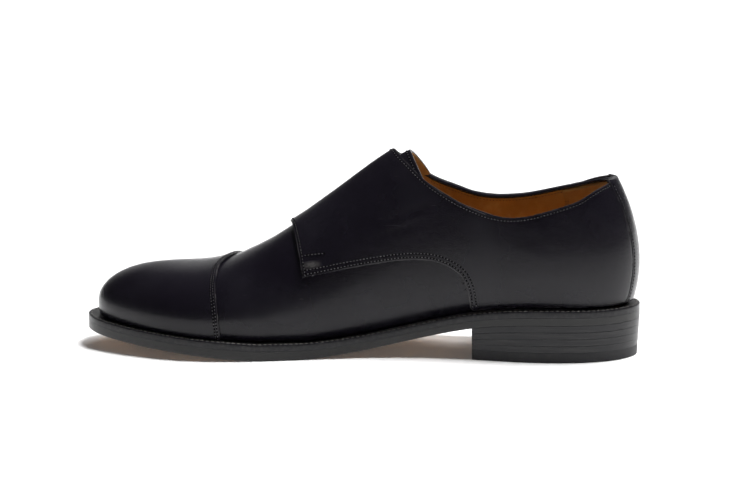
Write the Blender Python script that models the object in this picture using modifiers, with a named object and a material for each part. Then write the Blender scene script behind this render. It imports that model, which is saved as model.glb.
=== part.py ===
"""Double monk strap shoe: a right shoe of EU size 43, in metres, with +Z up.

The toe points to -X. The medial side, which the straps come from, faces -Y, and
the buckles sit on the lateral side, at +Y. Every leather piece lies on one last:
a surface that runs from the feather line on the welt up to the ridge of the foot.
A place on it is a station, 0 at the heel's back to 1 at the toe's tip, and a wrap,
0 at the medial feather line, 1 on the ridge and 2 at the lateral feather line.
"""
import math

import bmesh
import bpy
import numpy as np

# Sole
SOLE_LENGTH = 0.303
BALL_WIDTH = 0.105
TOE_SPRING = 0.0096
OUTSOLE_THICKNESS = 0.0052
WELT_THICKNESS = 0.0032
INSOLE_THICKNESS = 0.0052

# Heel
HEEL_HEIGHT = 0.0205
TOP_LIFT_THICKNESS = 0.0055
HEEL_BREAST = 0.295
HEEL_TAPER = 0.0012
LIFT_COUNT = 4

# Upper
INSTEP_HEIGHT = 0.0976
WELT_MARGIN = 0.0042
COUNTER_HEIGHT = 0.0225
FEATHER_TUCK = 0.0036
UPPER_WALL = 0.0018
OVERLAY_WALL = 0.0014
STRAP_WALL = 0.0016
STRIP_WALL = 0.0016
TONGUE_WALL = 0.0018
TAB_WALL = 0.0010

# Buckles
BUCKLE_WIRE = 0.0022
PRONG_WIRE = 0.0016
BUCKLE_CORNER = 0.22

MM = 0.001

# Clearances
GAP = 0.0003
LEATHER_GAP = 0.0005
TONGUE_GAP = 0.0014
STRIP_GAP = 0.0005
INSOLE_CLEARANCE = 0.0009

MEDIAL, LATERAL = -1, 1

# Half widths of the sole at each station, as shares of the ball width
SOLE_OUTLINE = (
    # station, medial, lateral
    (0.03, 0.190, 0.190),
    (0.08, 0.284, 0.284),
    (0.15, 0.322, 0.322),
    (0.22, 0.314, 0.326),
    (0.30, 0.274, 0.332),
    (0.40, 0.258, 0.362),
    (0.50, 0.292, 0.428),
    (0.60, 0.370, 0.512),
    (0.67, 0.422, 0.548),
    (0.72, 0.446, 0.546),
    (0.78, 0.450, 0.508),
    (0.85, 0.403, 0.430),
    (0.92, 0.304, 0.312),
    (0.97, 0.198, 0.200),
)

# Underside behind the ball, as a share of the heel height: below 0 it is flat
HEEL_PITCH = ((0.00, 1.00), (0.10, 1.00), (0.20, 0.99), (0.28, 0.878), (0.36, 0.639),
              (0.44, 0.361), (0.52, 0.127), (0.57, 0.028), (0.60, -0.004), (0.64, -0.02))
# Underside in front of the ball, as a share of the toe spring: below 0 it is flat
TOE_PITCH = ((0.62, -0.02), (0.67, 0.0), (0.72, 0.125), (0.80, 0.375), (0.88, 0.604),
             (0.94, 0.781), (1.00, 1.00))
# Outsole at its edge, as a share of its thickness at the ball
EDGE_SHARE = ((0.00, 0.766), (0.28, 0.75), (0.44, 0.75), (0.52, 0.83), (0.60, 0.967),
              (0.66, 1.00), (0.72, 1.00), (0.80, 0.916), (0.88, 0.866), (1.00, 0.80))

# Sections of the last above its widest line
LAST_SECTIONS = (
    # station, ridge above the welt (of INSTEP_HEIGHT), ridge aside (of BALL_WIDTH),
    # reach of the side's curve, reach of the top's curve
    (0.10, 0.952, 0.000, 0.36, 0.60),
    (0.20, 0.976, 0.000, 0.45, 0.55),
    (0.30, 1.000, -0.010, 0.53, 0.49),
    (0.38, 1.000, -0.020, 0.53, 0.44),
    (0.443, 0.956, -0.030, 0.50, 0.42),
    (0.503, 0.860, -0.035, 0.50, 0.44),
    (0.575, 0.714, -0.035, 0.50, 0.46),
    (0.647, 0.560, -0.030, 0.51, 0.50),
    (0.700, 0.461, -0.022, 0.53, 0.53),
    (0.745, 0.386, -0.015, 0.56, 0.56),
    (0.790, 0.343, -0.008, 0.58, 0.58),
    (0.845, 0.321, 0.000, 0.58, 0.56),
)
# Foot of the last, between the feather line and the widest line
LAST_FOOT = (
    # station, margin medial, margin lateral (of WELT_MARGIN), widest line (of
    # COUNTER_HEIGHT), tuck below it (of FEATHER_TUCK)
    (0.00, 0.55, 0.55, 1.00, 1.00),
    (0.10, 0.71, 0.71, 0.93, 1.10),
    (0.22, 0.71, 0.76, 0.84, 1.25),
    (0.35, 0.48, 0.67, 0.84, 1.45),
    (0.48, 0.43, 0.71, 0.76, 1.40),
    (0.62, 0.68, 0.80, 0.53, 0.95),
    (0.75, 0.90, 0.95, 0.40, 0.62),
    (0.90, 1.10, 1.10, 0.33, 0.42),
    (1.00, 1.67, 1.67, 0.31, 0.28),
)
RIDGE_HEEL, RIDGE_TOE, RIDGE_EASE = 0.165, 0.845, 0.05
WIDEST = 0.22

# Height of the collar on the last, as a rise: 1 is the ridge, where it closes
COLLAR_MEDIAL = ((0.00, 0.590), (0.009, 0.578), (0.046, 0.554), (0.093, 0.516), (0.135, 0.489),
                 (0.176, 0.464), (0.212, 0.444), (0.243, 0.439), (0.292, 0.469), (0.319, 0.499),
                 (0.342, 0.539), (0.368, 0.594), (0.388, 0.650), (0.42, 0.76), (0.46, 0.89),
                 (0.50, 1.03))
COLLAR_LATERAL = ((0.00, 0.590), (0.009, 0.585), (0.046, 0.566), (0.093, 0.541), (0.141, 0.519),
                  (0.176, 0.500), (0.212, 0.481), (0.248, 0.469), (0.294, 0.479), (0.322, 0.506),
                  (0.345, 0.538), (0.366, 0.573), (0.385, 0.62), (0.42, 0.74), (0.46, 0.88),
                  (0.50, 1.03))

# Pattern pieces as ribs, each from the piece's lower edge to its upper edge
FOOT_RISE = 0.02
MEDIAL_QUARTER = (
    # station, wrap, extra stand-off (mm); station, wrap, extra stand-off
    (0.024, FOOT_RISE, 0.0, 0.0105, 0.578, 0.0),
    (0.060, FOOT_RISE, 0.0, 0.046, 0.554, 0.0),
    (0.110, FOOT_RISE, 0.0, 0.093, 0.516, 0.0),
    (0.170, FOOT_RISE, 0.0, 0.155, 0.477, 0.0),
    (0.230, FOOT_RISE, 0.0, 0.212, 0.444, 0.0),
    (0.280, FOOT_RISE, 0.0, 0.262, 0.444, 0.0),
    (0.298, 0.035, 0.2, 0.300, 0.475, 0.0),
    (0.301, 0.110, 0.5, 0.324, 0.506, 0.0),
    (0.305, 0.178, 0.6, 0.348, 0.549, 0.0),
    (0.312, 0.228, 0.5, 0.371, 0.602, 0.0),
    (0.329, 0.264, 0.2, 0.392, 0.670, 0.1),
    (0.357, 0.299, 0.0, 0.413, 0.765, 0.2),
    (0.392, 0.326, 0.0, 0.430, 0.880, 0.4),
    (0.425, 0.346, 0.0, 0.4405, 1.010, 0.6),
    (0.458, 0.363, 0.0, 0.463, 1.075, 0.6),
    (0.500, 0.386, 0.0, 0.498, 1.088, 0.6),
    (0.532, 0.405, 0.1, 0.532, 1.090, 0.6),
    (0.564, 0.424, 0.2, 0.576, 1.090, 0.8),
    (0.593, 0.443, 0.3, 0.628, 1.090, 1.1),
)
STRAP_ROOTS = (13, 16, 18)
LATERAL_QUARTER = (
    (0.024, FOOT_RISE, 0.0, 0.0105, 0.585, 0.0),
    (0.060, FOOT_RISE, 0.0, 0.046, 0.566, 0.0),
    (0.110, FOOT_RISE, 0.0, 0.093, 0.541, 0.0),
    (0.170, FOOT_RISE, 0.0, 0.155, 0.511, 0.0),
    (0.230, FOOT_RISE, 0.0, 0.212, 0.481, 0.0),
    (0.280, FOOT_RISE, 0.0, 0.262, 0.469, 0.0),
    (0.306, 0.035, 0.0, 0.300, 0.483, 0.0),
    (0.309, 0.110, 0.0, 0.322, 0.506, 0.0),
    (0.313, 0.178, 0.0, 0.345, 0.538, 0.0),
    (0.320, 0.228, 0.0, 0.366, 0.573, 0.0),
    (0.337, 0.264, 0.0, 0.385, 0.620, 0.0),
    (0.365, 0.299, 0.0, 0.400, 0.680, 0.0),
    (0.398, 0.326, 0.0, 0.413, 0.750, 0.0),
    (0.430, 0.346, 0.0, 0.427, 0.825, 0.0),
    (0.463, 0.363, 0.0, 0.455, 0.790, 0.0),
    (0.505, 0.386, 0.0, 0.487, 0.730, 0.0),
    (0.540, 0.405, 0.0, 0.522, 0.640, 0.0),
    (0.567, 0.423, 0.0, 0.552, 0.545, 0.0),
    (0.582, 0.434, 0.0, 0.578, 0.460, 0.0),
)
# Straps as rows from the slit to the tip, each from the rear edge to the front edge
UPPER_STRAP = (
    # station, wrap; station, wrap; what it lies over, extra (mm), extra at the edges (mm)
    (0.434, 1.165, 0.500, 1.215, "quarter", 0.0, 0.1),
    (0.416, 1.280, 0.476, 1.345, "quarter", 0.1, 0.3),
    (0.399, 1.395, 0.450, 1.465, "quarter", 0.2, 0.3),
    (0.380, 1.478, 0.427, 1.555, "bar", 0.2, 0.0),
    (0.364, 1.525, 0.406, 1.605, "tab", 0.6, 0.0),
    (0.350, 1.567, 0.384, 1.637, "tab", 0.2, 0.0),
    (0.345, 1.602, 0.361, 1.633, "tab", 0.0, 0.0),
)
LOWER_STRAP = (
    (0.522, 1.230, 0.602, 1.240, "vamp", 1.2, 0.2),
    (0.506, 1.355, 0.568, 1.385, "quarter", 0.1, 0.3),
    (0.486, 1.455, 0.541, 1.500, "quarter", 0.2, 0.3),
    (0.463, 1.540, 0.512, 1.590, "bar", 0.2, 0.0),
    (0.444, 1.597, 0.487, 1.648, "tab", 0.6, 0.0),
    (0.425, 1.648, 0.459, 1.690, "tab", 0.2, 0.0),
    (0.417, 1.684, 0.432, 1.702, "tab", 0.0, 0.0),
)
# Stand-off of a strap's inner face from the last, by what lies below it
OVER_VAMP = LEATHER_GAP
OVER_QUARTER = OVER_VAMP + OVERLAY_WALL + LEATHER_GAP
OVER = {
    "vamp": OVER_VAMP,
    "quarter": OVER_QUARTER,
    "tab": OVER_QUARTER + TAB_WALL + LEATHER_GAP,
    "bar": OVER_QUARTER + BUCKLE_WIRE + GAP,
}
# Rows of the straps' tables at which the buckles, their prongs and their tabs lie
RAIL_ROW, BAR_ROW = 2.6, 4.0
PRONG_TIP_ROW, PRONG_RISE_ROW = 2.48, 2.9
TAB_START_ROW, TAB_END_ROW = 4.16, 6.0
FRAME_OUTSIDE = 0.11
TAB_EDGES = (0.2, 0.8)

# Seam of the toe cap: station at each rise, on both sides
CAP_SEAM = (
    # rise, medial station, lateral station
    (FOOT_RISE, 0.736, 0.708),
    (0.113, 0.737, 0.710),
    (0.278, 0.740, 0.714),
    (0.431, 0.745, 0.718),
    (0.564, 0.749, 0.722),
    (0.684, 0.7505, 0.726),
    (0.850, 0.750, 0.733),
    (1.000, 0.742, 0.742),
)
# Tongue as ribs across the instep, from its sewn front to its free top edge
TONGUE = (
    # station, wrap; station, wrap
    (0.545, 0.760, 0.386, 0.645),
    (0.580, 0.830, 0.398, 0.735),
    (0.605, 0.910, 0.410, 0.860),
    (0.615, 1.000, 0.416, 1.000),
    (0.605, 1.090, 0.412, 1.120),
    (0.580, 1.170, 0.400, 1.240),
    (0.545, 1.240, 0.382, 1.365),
)
BACK_STRIP_HALF = 0.0112

# Sampling: stations of the sole and the upper, and steps between ribs
HEEL_STEPS, FORE_STEPS = 13, 36
RISE_STEPS = 9
RIB_STEPS = 2
QUARTER_STEPS = 7
STRIP_COLUMNS = 4
RING_POINTS, PRONG_POINTS = 30, 7
TAB_ROWS, TAB_COLUMNS = 6, 5
SHARP_EDGE = math.radians(40)


def spline(knots, values):
    """Natural cubic spline through the values, held at its ends."""
    x, y = np.asarray(knots, float), np.asarray(values, float)
    last = len(x) - 1
    step = np.diff(x)
    matrix = np.eye(last + 1)
    right = np.zeros(y.shape)
    for i in range(1, last):
        matrix[i, i - 1:i + 2] = step[i - 1], 2 * (step[i - 1] + step[i]), step[i]
        right[i] = 6 * ((y[i + 1] - y[i]) / step[i] - (y[i] - y[i - 1]) / step[i - 1])
    bend = np.linalg.solve(matrix, right)

    def value(at):
        at = np.clip(np.asarray(at, float), x[0], x[-1])
        i = np.clip(np.searchsorted(x, at) - 1, 0, last - 1)
        span, ahead, past = step[i], x[i + 1] - at, at - x[i]
        if y.ndim > 1:
            span, ahead, past = span[..., None], ahead[..., None], past[..., None]
        curve = (bend[i] * ahead ** 3 + bend[i + 1] * past ** 3) / (6 * span)
        line = (y[i] / span - bend[i] * span / 6) * ahead
        return curve + line + (y[i + 1] / span - bend[i + 1] * span / 6) * past

    return value


def column(rows, index, scale=1.0):
    """Spline of one column of a table over its first column."""
    return spline([row[0] for row in rows], [row[index] * scale for row in rows])


def angle_of(station):
    """Stations are spaced by the cosine of an angle, so that both ends are round."""
    return np.arccos(1 - 2 * np.clip(station, 0, 1))


def station_of(angle):
    return (1 - np.cos(angle)) / 2


def half_width(index):
    knots = [0.0] + [float(angle_of(row[0])) for row in SOLE_OUTLINE] + [math.pi]
    return spline(knots, [0.0] + [row[index] * BALL_WIDTH for row in SOLE_OUTLINE] + [0.0])


HALF_WIDTH = {MEDIAL: half_width(1), LATERAL: half_width(2)}
HEEL_CURVE, TOE_CURVE = column(HEEL_PITCH, 1), column(TOE_PITCH, 1)
EDGE_CURVE = column(EDGE_SHARE, 1, OUTSOLE_THICKNESS)
RIDGE_RISE, RIDGE_ASIDE = column(LAST_SECTIONS, 1, INSTEP_HEIGHT), column(LAST_SECTIONS, 2, BALL_WIDTH)
SIDE_REACH, TOP_REACH = column(LAST_SECTIONS, 3), column(LAST_SECTIONS, 4)
MARGIN = {MEDIAL: column(LAST_FOOT, 1, WELT_MARGIN), LATERAL: column(LAST_FOOT, 2, WELT_MARGIN)}
WIDEST_HEIGHT, TUCK = column(LAST_FOOT, 3, COUNTER_HEIGHT), column(LAST_FOOT, 4, FEATHER_TUCK)


def underside(x):
    """Height of the outsole's lower face: flat on the floor under the ball."""
    station = 0.5 - x / SOLE_LENGTH
    heel = HEEL_HEIGHT * np.maximum(HEEL_CURVE(station), 0)
    return heel + TOE_SPRING * np.maximum(TOE_CURVE(station), 0)


def outsole_top(x):
    return underside(x) + EDGE_CURVE(0.5 - x / SOLE_LENGTH)


def welt_top(x):
    return outsole_top(x) + GAP + WELT_THICKNESS


def sole_edge(side, angle, inset=0.0):
    """A point of the sole's outline, moved inwards by inset: x and y."""
    angle = np.asarray(angle, float)
    near = 1e-3
    behind, ahead = np.clip(angle - near, 0, math.pi), np.clip(angle + near, 0, math.pi)
    along_x = SOLE_LENGTH / 2 * (np.cos(ahead) - np.cos(behind))
    along_y = side * (HALF_WIDTH[side](ahead) - HALF_WIDTH[side](behind))
    at_end = (angle < near) | (angle > math.pi - near)
    along_x = np.where(at_end, 0.0, along_x)
    length = np.hypot(along_x, along_y)
    x = SOLE_LENGTH / 2 * np.cos(angle) - side * along_y / length * inset
    y = side * HALF_WIDTH[side](angle) + side * along_x / length * inset
    return x, y


def ridge_station(station):
    """The ridge ends inside the heel and the toe, where the last is round."""
    rear, front = RIDGE_HEEL + RIDGE_EASE, RIDGE_TOE - RIDGE_EASE
    eased = RIDGE_HEEL + RIDGE_EASE * np.exp(np.minimum(station - rear, 0) / RIDGE_EASE)
    eased = np.where(station < rear, eased, station)
    toe = RIDGE_TOE - RIDGE_EASE * np.exp(np.minimum(front - station, 0) / RIDGE_EASE)
    return np.where(station > front, toe, eased)


def last_side(side, angle, rise):
    """One side of the last: rise 0 is the feather line and 1 is the ridge."""
    station = station_of(angle)
    foot_x, foot_y = sole_edge(side, angle, MARGIN[side](station))
    spine = ridge_station(station)
    ridge_x, ridge_y = SOLE_LENGTH * (0.5 - spine), RIDGE_ASIDE(spine)
    base = welt_top(foot_x) + GAP
    widest = base + WIDEST_HEIGHT(station)
    ridge = welt_top(ridge_x) + RIDGE_RISE(spine)
    above = np.clip((rise - WIDEST) / (1 - WIDEST), 0, 1)
    below = np.clip(rise / WIDEST, 0, 1)
    start, end = (1 - above) ** 3, above ** 3
    leave, arrive = 3 * above * (1 - above) ** 2, 3 * above ** 2 * (1 - above)
    reach = np.hypot(foot_x - ridge_x, foot_y - ridge_y)
    out = start + leave + arrive * TOP_REACH(spine) - TUCK(station) * (1 - below) ** 2 / reach
    climb = leave * SIDE_REACH(spine) + arrive + end
    z = base + (widest - base) * below + (ridge - widest) * climb
    return np.stack([ridge_x + (foot_x - ridge_x) * out, ridge_y + (foot_y - ridge_y) * out, z], -1)


def last_point(angle, wrap):
    """The last all round: wrap runs from the medial feather line to the lateral one."""
    medial = last_side(MEDIAL, angle, np.minimum(wrap, 1))
    lateral = last_side(LATERAL, angle, np.minimum(2 - wrap, 1))
    return np.where((wrap <= 1)[..., None], medial, lateral)


def last_normal(angle, wrap):
    """The last's outward normal, by small steps along it and around it."""
    near = 2e-3
    wrap = np.clip(wrap, near, 2 - near)
    along = last_point(np.clip(angle + near, 0, math.pi), wrap)
    along = along - last_point(np.clip(angle - near, 0, math.pi), wrap)
    around = last_point(angle, wrap + near) - last_point(angle, wrap - near)
    normal = np.cross(around, along)
    return normal / np.linalg.norm(normal, axis=-1, keepdims=True)


def on_last(angle, wrap, lift=0.0):
    """A point that stands off the last by lift, along its outward normal.

    The normal is the mean of two beside the point, because the ridge's ends have none.
    """
    angle, wrap, lift = np.broadcast_arrays(*(np.asarray(part, float) for part in (angle, wrap, lift)))
    beside = 0.01
    normal = last_normal(angle, wrap - beside) + last_normal(angle, wrap + beside)
    normal /= np.linalg.norm(normal, axis=-1, keepdims=True)
    return last_point(angle, wrap) + normal * lift[..., None]


HEEL_ANGLES = np.linspace(0, float(angle_of(HEEL_BREAST)), HEEL_STEPS + 1)
FORE_ANGLES = np.linspace(float(angle_of(HEEL_BREAST)), math.pi, FORE_STEPS + 1)
ANGLES = np.concatenate([HEEL_ANGLES, FORE_ANGLES[1:]])
WIDTHS = {side: float(np.max(HALF_WIDTH[side](ANGLES))) for side in (MEDIAL, LATERAL)}
CENTRE_SHIFT = (WIDTHS[LATERAL] - WIDTHS[MEDIAL]) / 2


def clear_scene():
    for item in list(bpy.data.objects):
        bpy.data.objects.remove(item, do_unlink=True)


def material(name, colour, roughness, metallic=0.0):
    finish = bpy.data.materials.new(name)
    finish.use_nodes = True
    shader = finish.node_tree.nodes["Principled BSDF"]
    shader.inputs["Base Color"].default_value = (*colour, 1.0)
    shader.inputs["Roughness"].default_value = roughness
    shader.inputs["Metallic"].default_value = metallic
    return finish


class Shoe:
    """The shoe's collection, the empty that centres it, and its materials."""

    def __init__(self):
        self.collection = bpy.data.collections.new("monk_strap_shoe")
        bpy.context.scene.collection.children.link(self.collection)
        self.centre = bpy.data.objects.new("shoe_centre", None)
        self.centre.location = (0, -CENTRE_SHIFT, 0)
        self.collection.objects.link(self.centre)

    def finish(self, item, look):
        """Put a piece in the shoe with a material of its own."""
        colour, roughness, metallic = look
        item.data.materials.append(material(item.name, colour, roughness, metallic))
        item.parent = self.centre
        if item.name not in self.collection.objects:
            self.collection.objects.link(item)
        return item


BLACK_CALF = ((0.012, 0.011, 0.012), 0.28, 0.0)
TAN_LINING = ((0.30, 0.13, 0.035), 0.55, 0.0)
SOLE_LEATHER = ((0.34, 0.20, 0.10), 0.5, 0.0)
BLACK_EDGE = ((0.016, 0.015, 0.016), 0.35, 0.0)
BLACK_RUBBER = ((0.014, 0.014, 0.014), 0.7, 0.0)
NICKEL = ((0.62, 0.61, 0.58), 0.22, 1.0)

MERGE = 0.00002


def add_grid(bm, points):
    """Loft a sheet through rows of points."""
    rows, columns = points.shape[:2]
    verts = [[bm.verts.new(point) for point in row] for row in points]
    for i in range(rows - 1):
        for j in range(columns - 1):
            bm.faces.new((verts[i][j], verts[i + 1][j], verts[i + 1][j + 1], verts[i][j + 1]))


def mesh_object(name, bm):
    mesh = bpy.data.meshes.new(name)
    bm.to_mesh(mesh)
    bm.free()
    mesh.shade_smooth()
    mesh.set_sharp_from_angle(angle=SHARP_EDGE)
    return bpy.data.objects.new(name, mesh)


def leather(name, sheets, wall, inward=False):
    """A leather piece: sheets on the last, merged where they meet, with a wall."""
    bm = bmesh.new()
    for points in sheets:
        add_grid(bm, points)
    bmesh.ops.remove_doubles(bm, verts=bm.verts, dist=MERGE)
    bmesh.ops.dissolve_degenerate(bm, dist=MERGE, edges=bm.edges)
    bmesh.ops.recalc_face_normals(bm, faces=bm.faces)
    bm.normal_update()
    outward = sum(face.normal.dot(face.calc_center_median() - core_of(face)) for face in bm.faces)
    if outward < 0:
        bmesh.ops.reverse_faces(bm, faces=bm.faces)
    item = mesh_object(name, bm)
    solidify = item.modifiers.new("wall", "SOLIDIFY")
    solidify.thickness = wall
    solidify.offset = -1 if inward else 1
    return item


def core_of(face):
    """The point inside the last that a face looks away from."""
    core = face.calc_center_median()
    reach = SOLE_LENGTH * 0.35
    core.x = max(-reach, min(reach, core.x))
    core.y, core.z = 0, min(INSTEP_HEIGHT / 3, core.z)
    return core


def all_round(outline):
    """An outline as one line: out along its medial side and back along its lateral side."""
    def line(angles, low):
        medial = np.array(outline(MEDIAL, angles, low))
        lateral = np.array(outline(LATERAL, angles[::-1], low))
        return np.concatenate([medial, lateral], axis=1)

    return line


def one_side(outline, side):
    """One side of an outline as a line."""
    return lambda angles, low: outline(side, angles, low)


def slab(name, angles, outline, bottom, top, inner=None):
    """A flat piece of the sole, filled from side to side, or from its outline to an inner one.

    outline and inner give x and y of a side at an angle, on the lower face if low.
    bottom and top give the heights of both faces at an x.
    """
    if inner is None:
        first, second = one_side(outline, MEDIAL), one_side(outline, LATERAL)
    else:
        first, second = all_round(outline), all_round(inner)
    corners = []
    for line, height, low in ((first, top, False), (second, top, False),
                              (second, bottom, True), (first, bottom, True)):
        x, y = line(angles, low)
        corners.append(np.stack([x, y, height(x)], -1))
    bm = bmesh.new()
    add_grid(bm, np.stack(corners + corners[:1]))
    bmesh.ops.remove_doubles(bm, verts=bm.verts, dist=MERGE)
    bmesh.ops.dissolve_degenerate(bm, dist=MERGE, edges=bm.edges)
    bmesh.ops.holes_fill(bm, edges=[edge for edge in bm.edges if edge.is_boundary], sides=4)
    bmesh.ops.recalc_face_normals(bm, faces=bm.faces)
    return mesh_object(name, bm)


def make_outsole():
    return slab("outsole", ANGLES, lambda side, angles, low: sole_edge(side, angles),
                underside, outsole_top)


def make_welt():
    def inner(side, angles, low):
        station = station_of(angles)
        return sole_edge(side, angles, MARGIN[side](station) + TUCK(station) + UPPER_WALL)

    return slab("welt", ANGLES, lambda side, angles, low: sole_edge(side, angles),
                lambda x: outsole_top(x) + GAP, welt_top, inner)


def make_insole():
    def outline(side, angles, low):
        station = station_of(angles)
        inset = MARGIN[side](station) + TUCK(station) + UPPER_WALL + INSOLE_CLEARANCE
        return sole_edge(side, angles, inset)

    return slab("insole", ANGLES, outline, lambda x: outsole_top(x) + GAP,
                lambda x: outsole_top(x) + GAP + INSOLE_THICKNESS)


def level(height):
    """A face that lies flat at a height."""
    return lambda x: np.full(np.shape(x), height)


def between_lifts(share, below=0.0):
    """A joint of the heel: at share 0 on the top lift, at 1 under the outsole."""
    return lambda x: TOP_LIFT_THICKNESS + (underside(x) - TOP_LIFT_THICKNESS) * share - below


def heel_outline(upper, lower):
    """The heel's outline at two heights: it narrows a little towards the floor."""
    def outline(side, angles, low):
        height = lower if low else upper
        return sole_edge(side, angles, HEEL_TAPER * (1 - height / HEEL_HEIGHT))

    return outline


def make_heel():
    stack = HEEL_HEIGHT - TOP_LIFT_THICKNESS
    lifts = []
    for number in range(LIFT_COUNT):
        low, high = number / LIFT_COUNT, (number + 1) / LIFT_COUNT
        shape = heel_outline(TOP_LIFT_THICKNESS + stack * high, TOP_LIFT_THICKNESS + stack * low)
        lifts.append(slab(f"heel_lift_{number + 1}", HEEL_ANGLES, shape, between_lifts(low),
                          between_lifts(high, GAP)))
    top_lift = slab("top_lift", HEEL_ANGLES, heel_outline(TOP_LIFT_THICKNESS, 0), level(0),
                    level(TOP_LIFT_THICKNESS - GAP))
    return top_lift, lifts


def make_upper():
    """Vamp and quarters in one hollow shell, open at the collar and to the sole."""
    sheets = []
    rise = np.linspace(0, 1, RISE_STEPS + 1)
    for side, collar in ((MEDIAL, COLLAR_MEDIAL), (LATERAL, COLLAR_LATERAL)):
        top = np.minimum(column(collar, 1)(station_of(ANGLES)), 1)
        grid = top[:, None] * rise[None, :]
        sheets.append(on_last(ANGLES[:, None], grid if side == MEDIAL else 2 - grid))
    return leather("upper", sheets, UPPER_WALL, inward=True)


def make_toe_cap():
    rise = np.linspace(FOOT_RISE, 1, RISE_STEPS + 1)
    rear = angle_of(np.stack([column(CAP_SEAM, 1)(rise), column(CAP_SEAM, 2)(rise)]))
    share = np.linspace(0, 1, FORE_STEPS // 2 + 1)
    sheets = []
    for start, wrap in ((rear[0], rise), (rear[1], 2 - rise)):
        angle = start[None, :] + (math.pi - start[None, :]) * share[:, None]
        sheets.append(on_last(angle, wrap[None, :], LEATHER_GAP))
    return leather("toe_cap", sheets, OVERLAY_WALL)


def ribbed(ribs, rib_steps, across):
    """Angle, wrap and stand-off of a pattern piece, from its table of ribs."""
    table = np.array(ribs)
    edges = table.copy()
    edges[:, 0], edges[:, 3] = angle_of(table[:, 0]), angle_of(table[:, 3])
    places = np.linspace(0, len(ribs) - 1, (len(ribs) - 1) * rib_steps + 1)
    edges[:, 2], edges[:, 5] = LEATHER_GAP + table[:, 2] * MM, LEATHER_GAP + table[:, 5] * MM
    drawn = spline(range(len(ribs)), edges)(places)
    share = np.linspace(0, 1, across + 1)[None, :, None]
    return drawn[:, None, :3] * (1 - share) + drawn[:, None, 3:] * share


def solve_angle(side, rise, aside):
    """The angle at which the last stands aside of the heel's middle by a distance."""
    low, high = np.zeros(rise.shape), np.full(rise.shape, 1.0)
    for _ in range(30):
        middle = (low + high) / 2
        over = np.abs(last_side(side, middle, rise)[..., 1]) > aside
        low, high = np.where(over, low, middle), np.where(over, middle, high)
    return (low + high) / 2


def meet_back_strip(ribs, side):
    """Move a quarter's back edge to the back strip, and ease the move out over two ribs."""
    rise = ribs[0, :, 1]
    edge = solve_angle(side, rise, BACK_STRIP_HALF + STRIP_GAP)
    ease = np.maximum(1 - np.arange(len(ribs)) / (2 * RIB_STEPS), 0)
    ribs[..., 0] += (edge - ribs[0, :, 0])[None, :] * ease[:, None]
    return ribs


def strap_surface(roots, rows):
    """A function that gives a strap's angle, wrap and stand-off at a row and across it.

    roots is the edge of the quarter that the strap grows from, as row 0. Across is 0
    at the rear edge and 1 at the front edge.
    """
    share = np.linspace(0, 1, len(roots))
    knots = [roots]
    for rear_station, rear_wrap, front_station, front_wrap, over, extra, edge_extra in rows:
        lift = OVER[over] + extra * MM
        rear = np.array([angle_of(rear_station), rear_wrap, lift])
        front = np.array([angle_of(front_station), front_wrap, lift])
        bend = edge_extra * MM * (2 * share - 1) ** 2
        line = rear[None, :] * (1 - share[:, None]) + front[None, :] * share[:, None]
        line[:, 2] += bend
        knots.append(line)
    along = spline(range(len(knots)), np.array(knots).reshape(len(knots), -1))

    def at(row, across):
        lines = along(np.atleast_1d(row)).reshape(-1, len(roots), 3)
        first, last = lines[:, 0], lines[:, -1]
        across = np.atleast_1d(across)
        inside = np.clip(across, 0, 1) * (len(roots) - 1)
        low = np.clip(inside.astype(int), 0, len(roots) - 2)
        picked = np.arange(len(lines))
        point = lines[picked, low] * (1 - inside + low)[:, None]
        point = point + lines[picked, low + 1] * (inside - low)[:, None]
        return point + (last - first) * (across - np.clip(across, 0, 1))[:, None]

    return at


def place(surface):
    """Points of a surface given by angle, wrap and stand-off."""
    return on_last(surface[..., 0], surface[..., 1], surface[..., 2])


QUARTER_RIBS = meet_back_strip(ribbed(MEDIAL_QUARTER, RIB_STEPS, QUARTER_STEPS), MEDIAL)
FIRST_ROOT, MIDDLE_ROOT, LAST_ROOT = (root * RIB_STEPS for root in STRAP_ROOTS)
STRAPS = {
    "upper": strap_surface(QUARTER_RIBS[FIRST_ROOT:MIDDLE_ROOT + 1, -1], UPPER_STRAP),
    "lower": strap_surface(QUARTER_RIBS[MIDDLE_ROOT:LAST_ROOT + 1, -1], LOWER_STRAP),
}
STRAP_LENGTHS = {"upper": len(UPPER_STRAP), "lower": len(LOWER_STRAP)}
STRAP_COLUMNS = {"upper": MIDDLE_ROOT - FIRST_ROOT, "lower": LAST_ROOT - MIDDLE_ROOT}


def make_medial_quarter():
    """The quarter, the flap over the instep and both straps are cut in one."""
    sheets = [place(QUARTER_RIBS)]
    for name, at in STRAPS.items():
        across = np.linspace(0, 1, STRAP_COLUMNS[name] + 1)
        rows = np.linspace(0, STRAP_LENGTHS[name], STRAP_LENGTHS[name] * RIB_STEPS + 1)
        sheets.append(place(np.stack([at(np.full(len(across), row), across) for row in rows])))
    return leather("medial_quarter", sheets, STRAP_WALL)


def make_lateral_quarter():
    ribs = meet_back_strip(ribbed(LATERAL_QUARTER, RIB_STEPS, QUARTER_STEPS - 1), LATERAL)
    ribs[..., 1] = 2 - ribs[..., 1]
    return leather("lateral_quarter", [place(ribs)], OVERLAY_WALL)


def make_back_strip():
    """The strip over the back seam, between the two quarters."""
    rise = np.linspace(FOOT_RISE, COLLAR_MEDIAL[0][1], RISE_STEPS + 1)
    across = np.linspace(0, 1, STRIP_COLUMNS)
    sheets = []
    for side in (MEDIAL, LATERAL):
        columns = []
        for share in across:
            angle = solve_angle(side, rise, BACK_STRIP_HALF * share)
            wrap = rise if side == MEDIAL else 2 - rise
            columns.append(on_last(angle, wrap, LEATHER_GAP))
        sheets.append(np.stack(columns))
    return leather("back_strip", sheets, STRIP_WALL)


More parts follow.
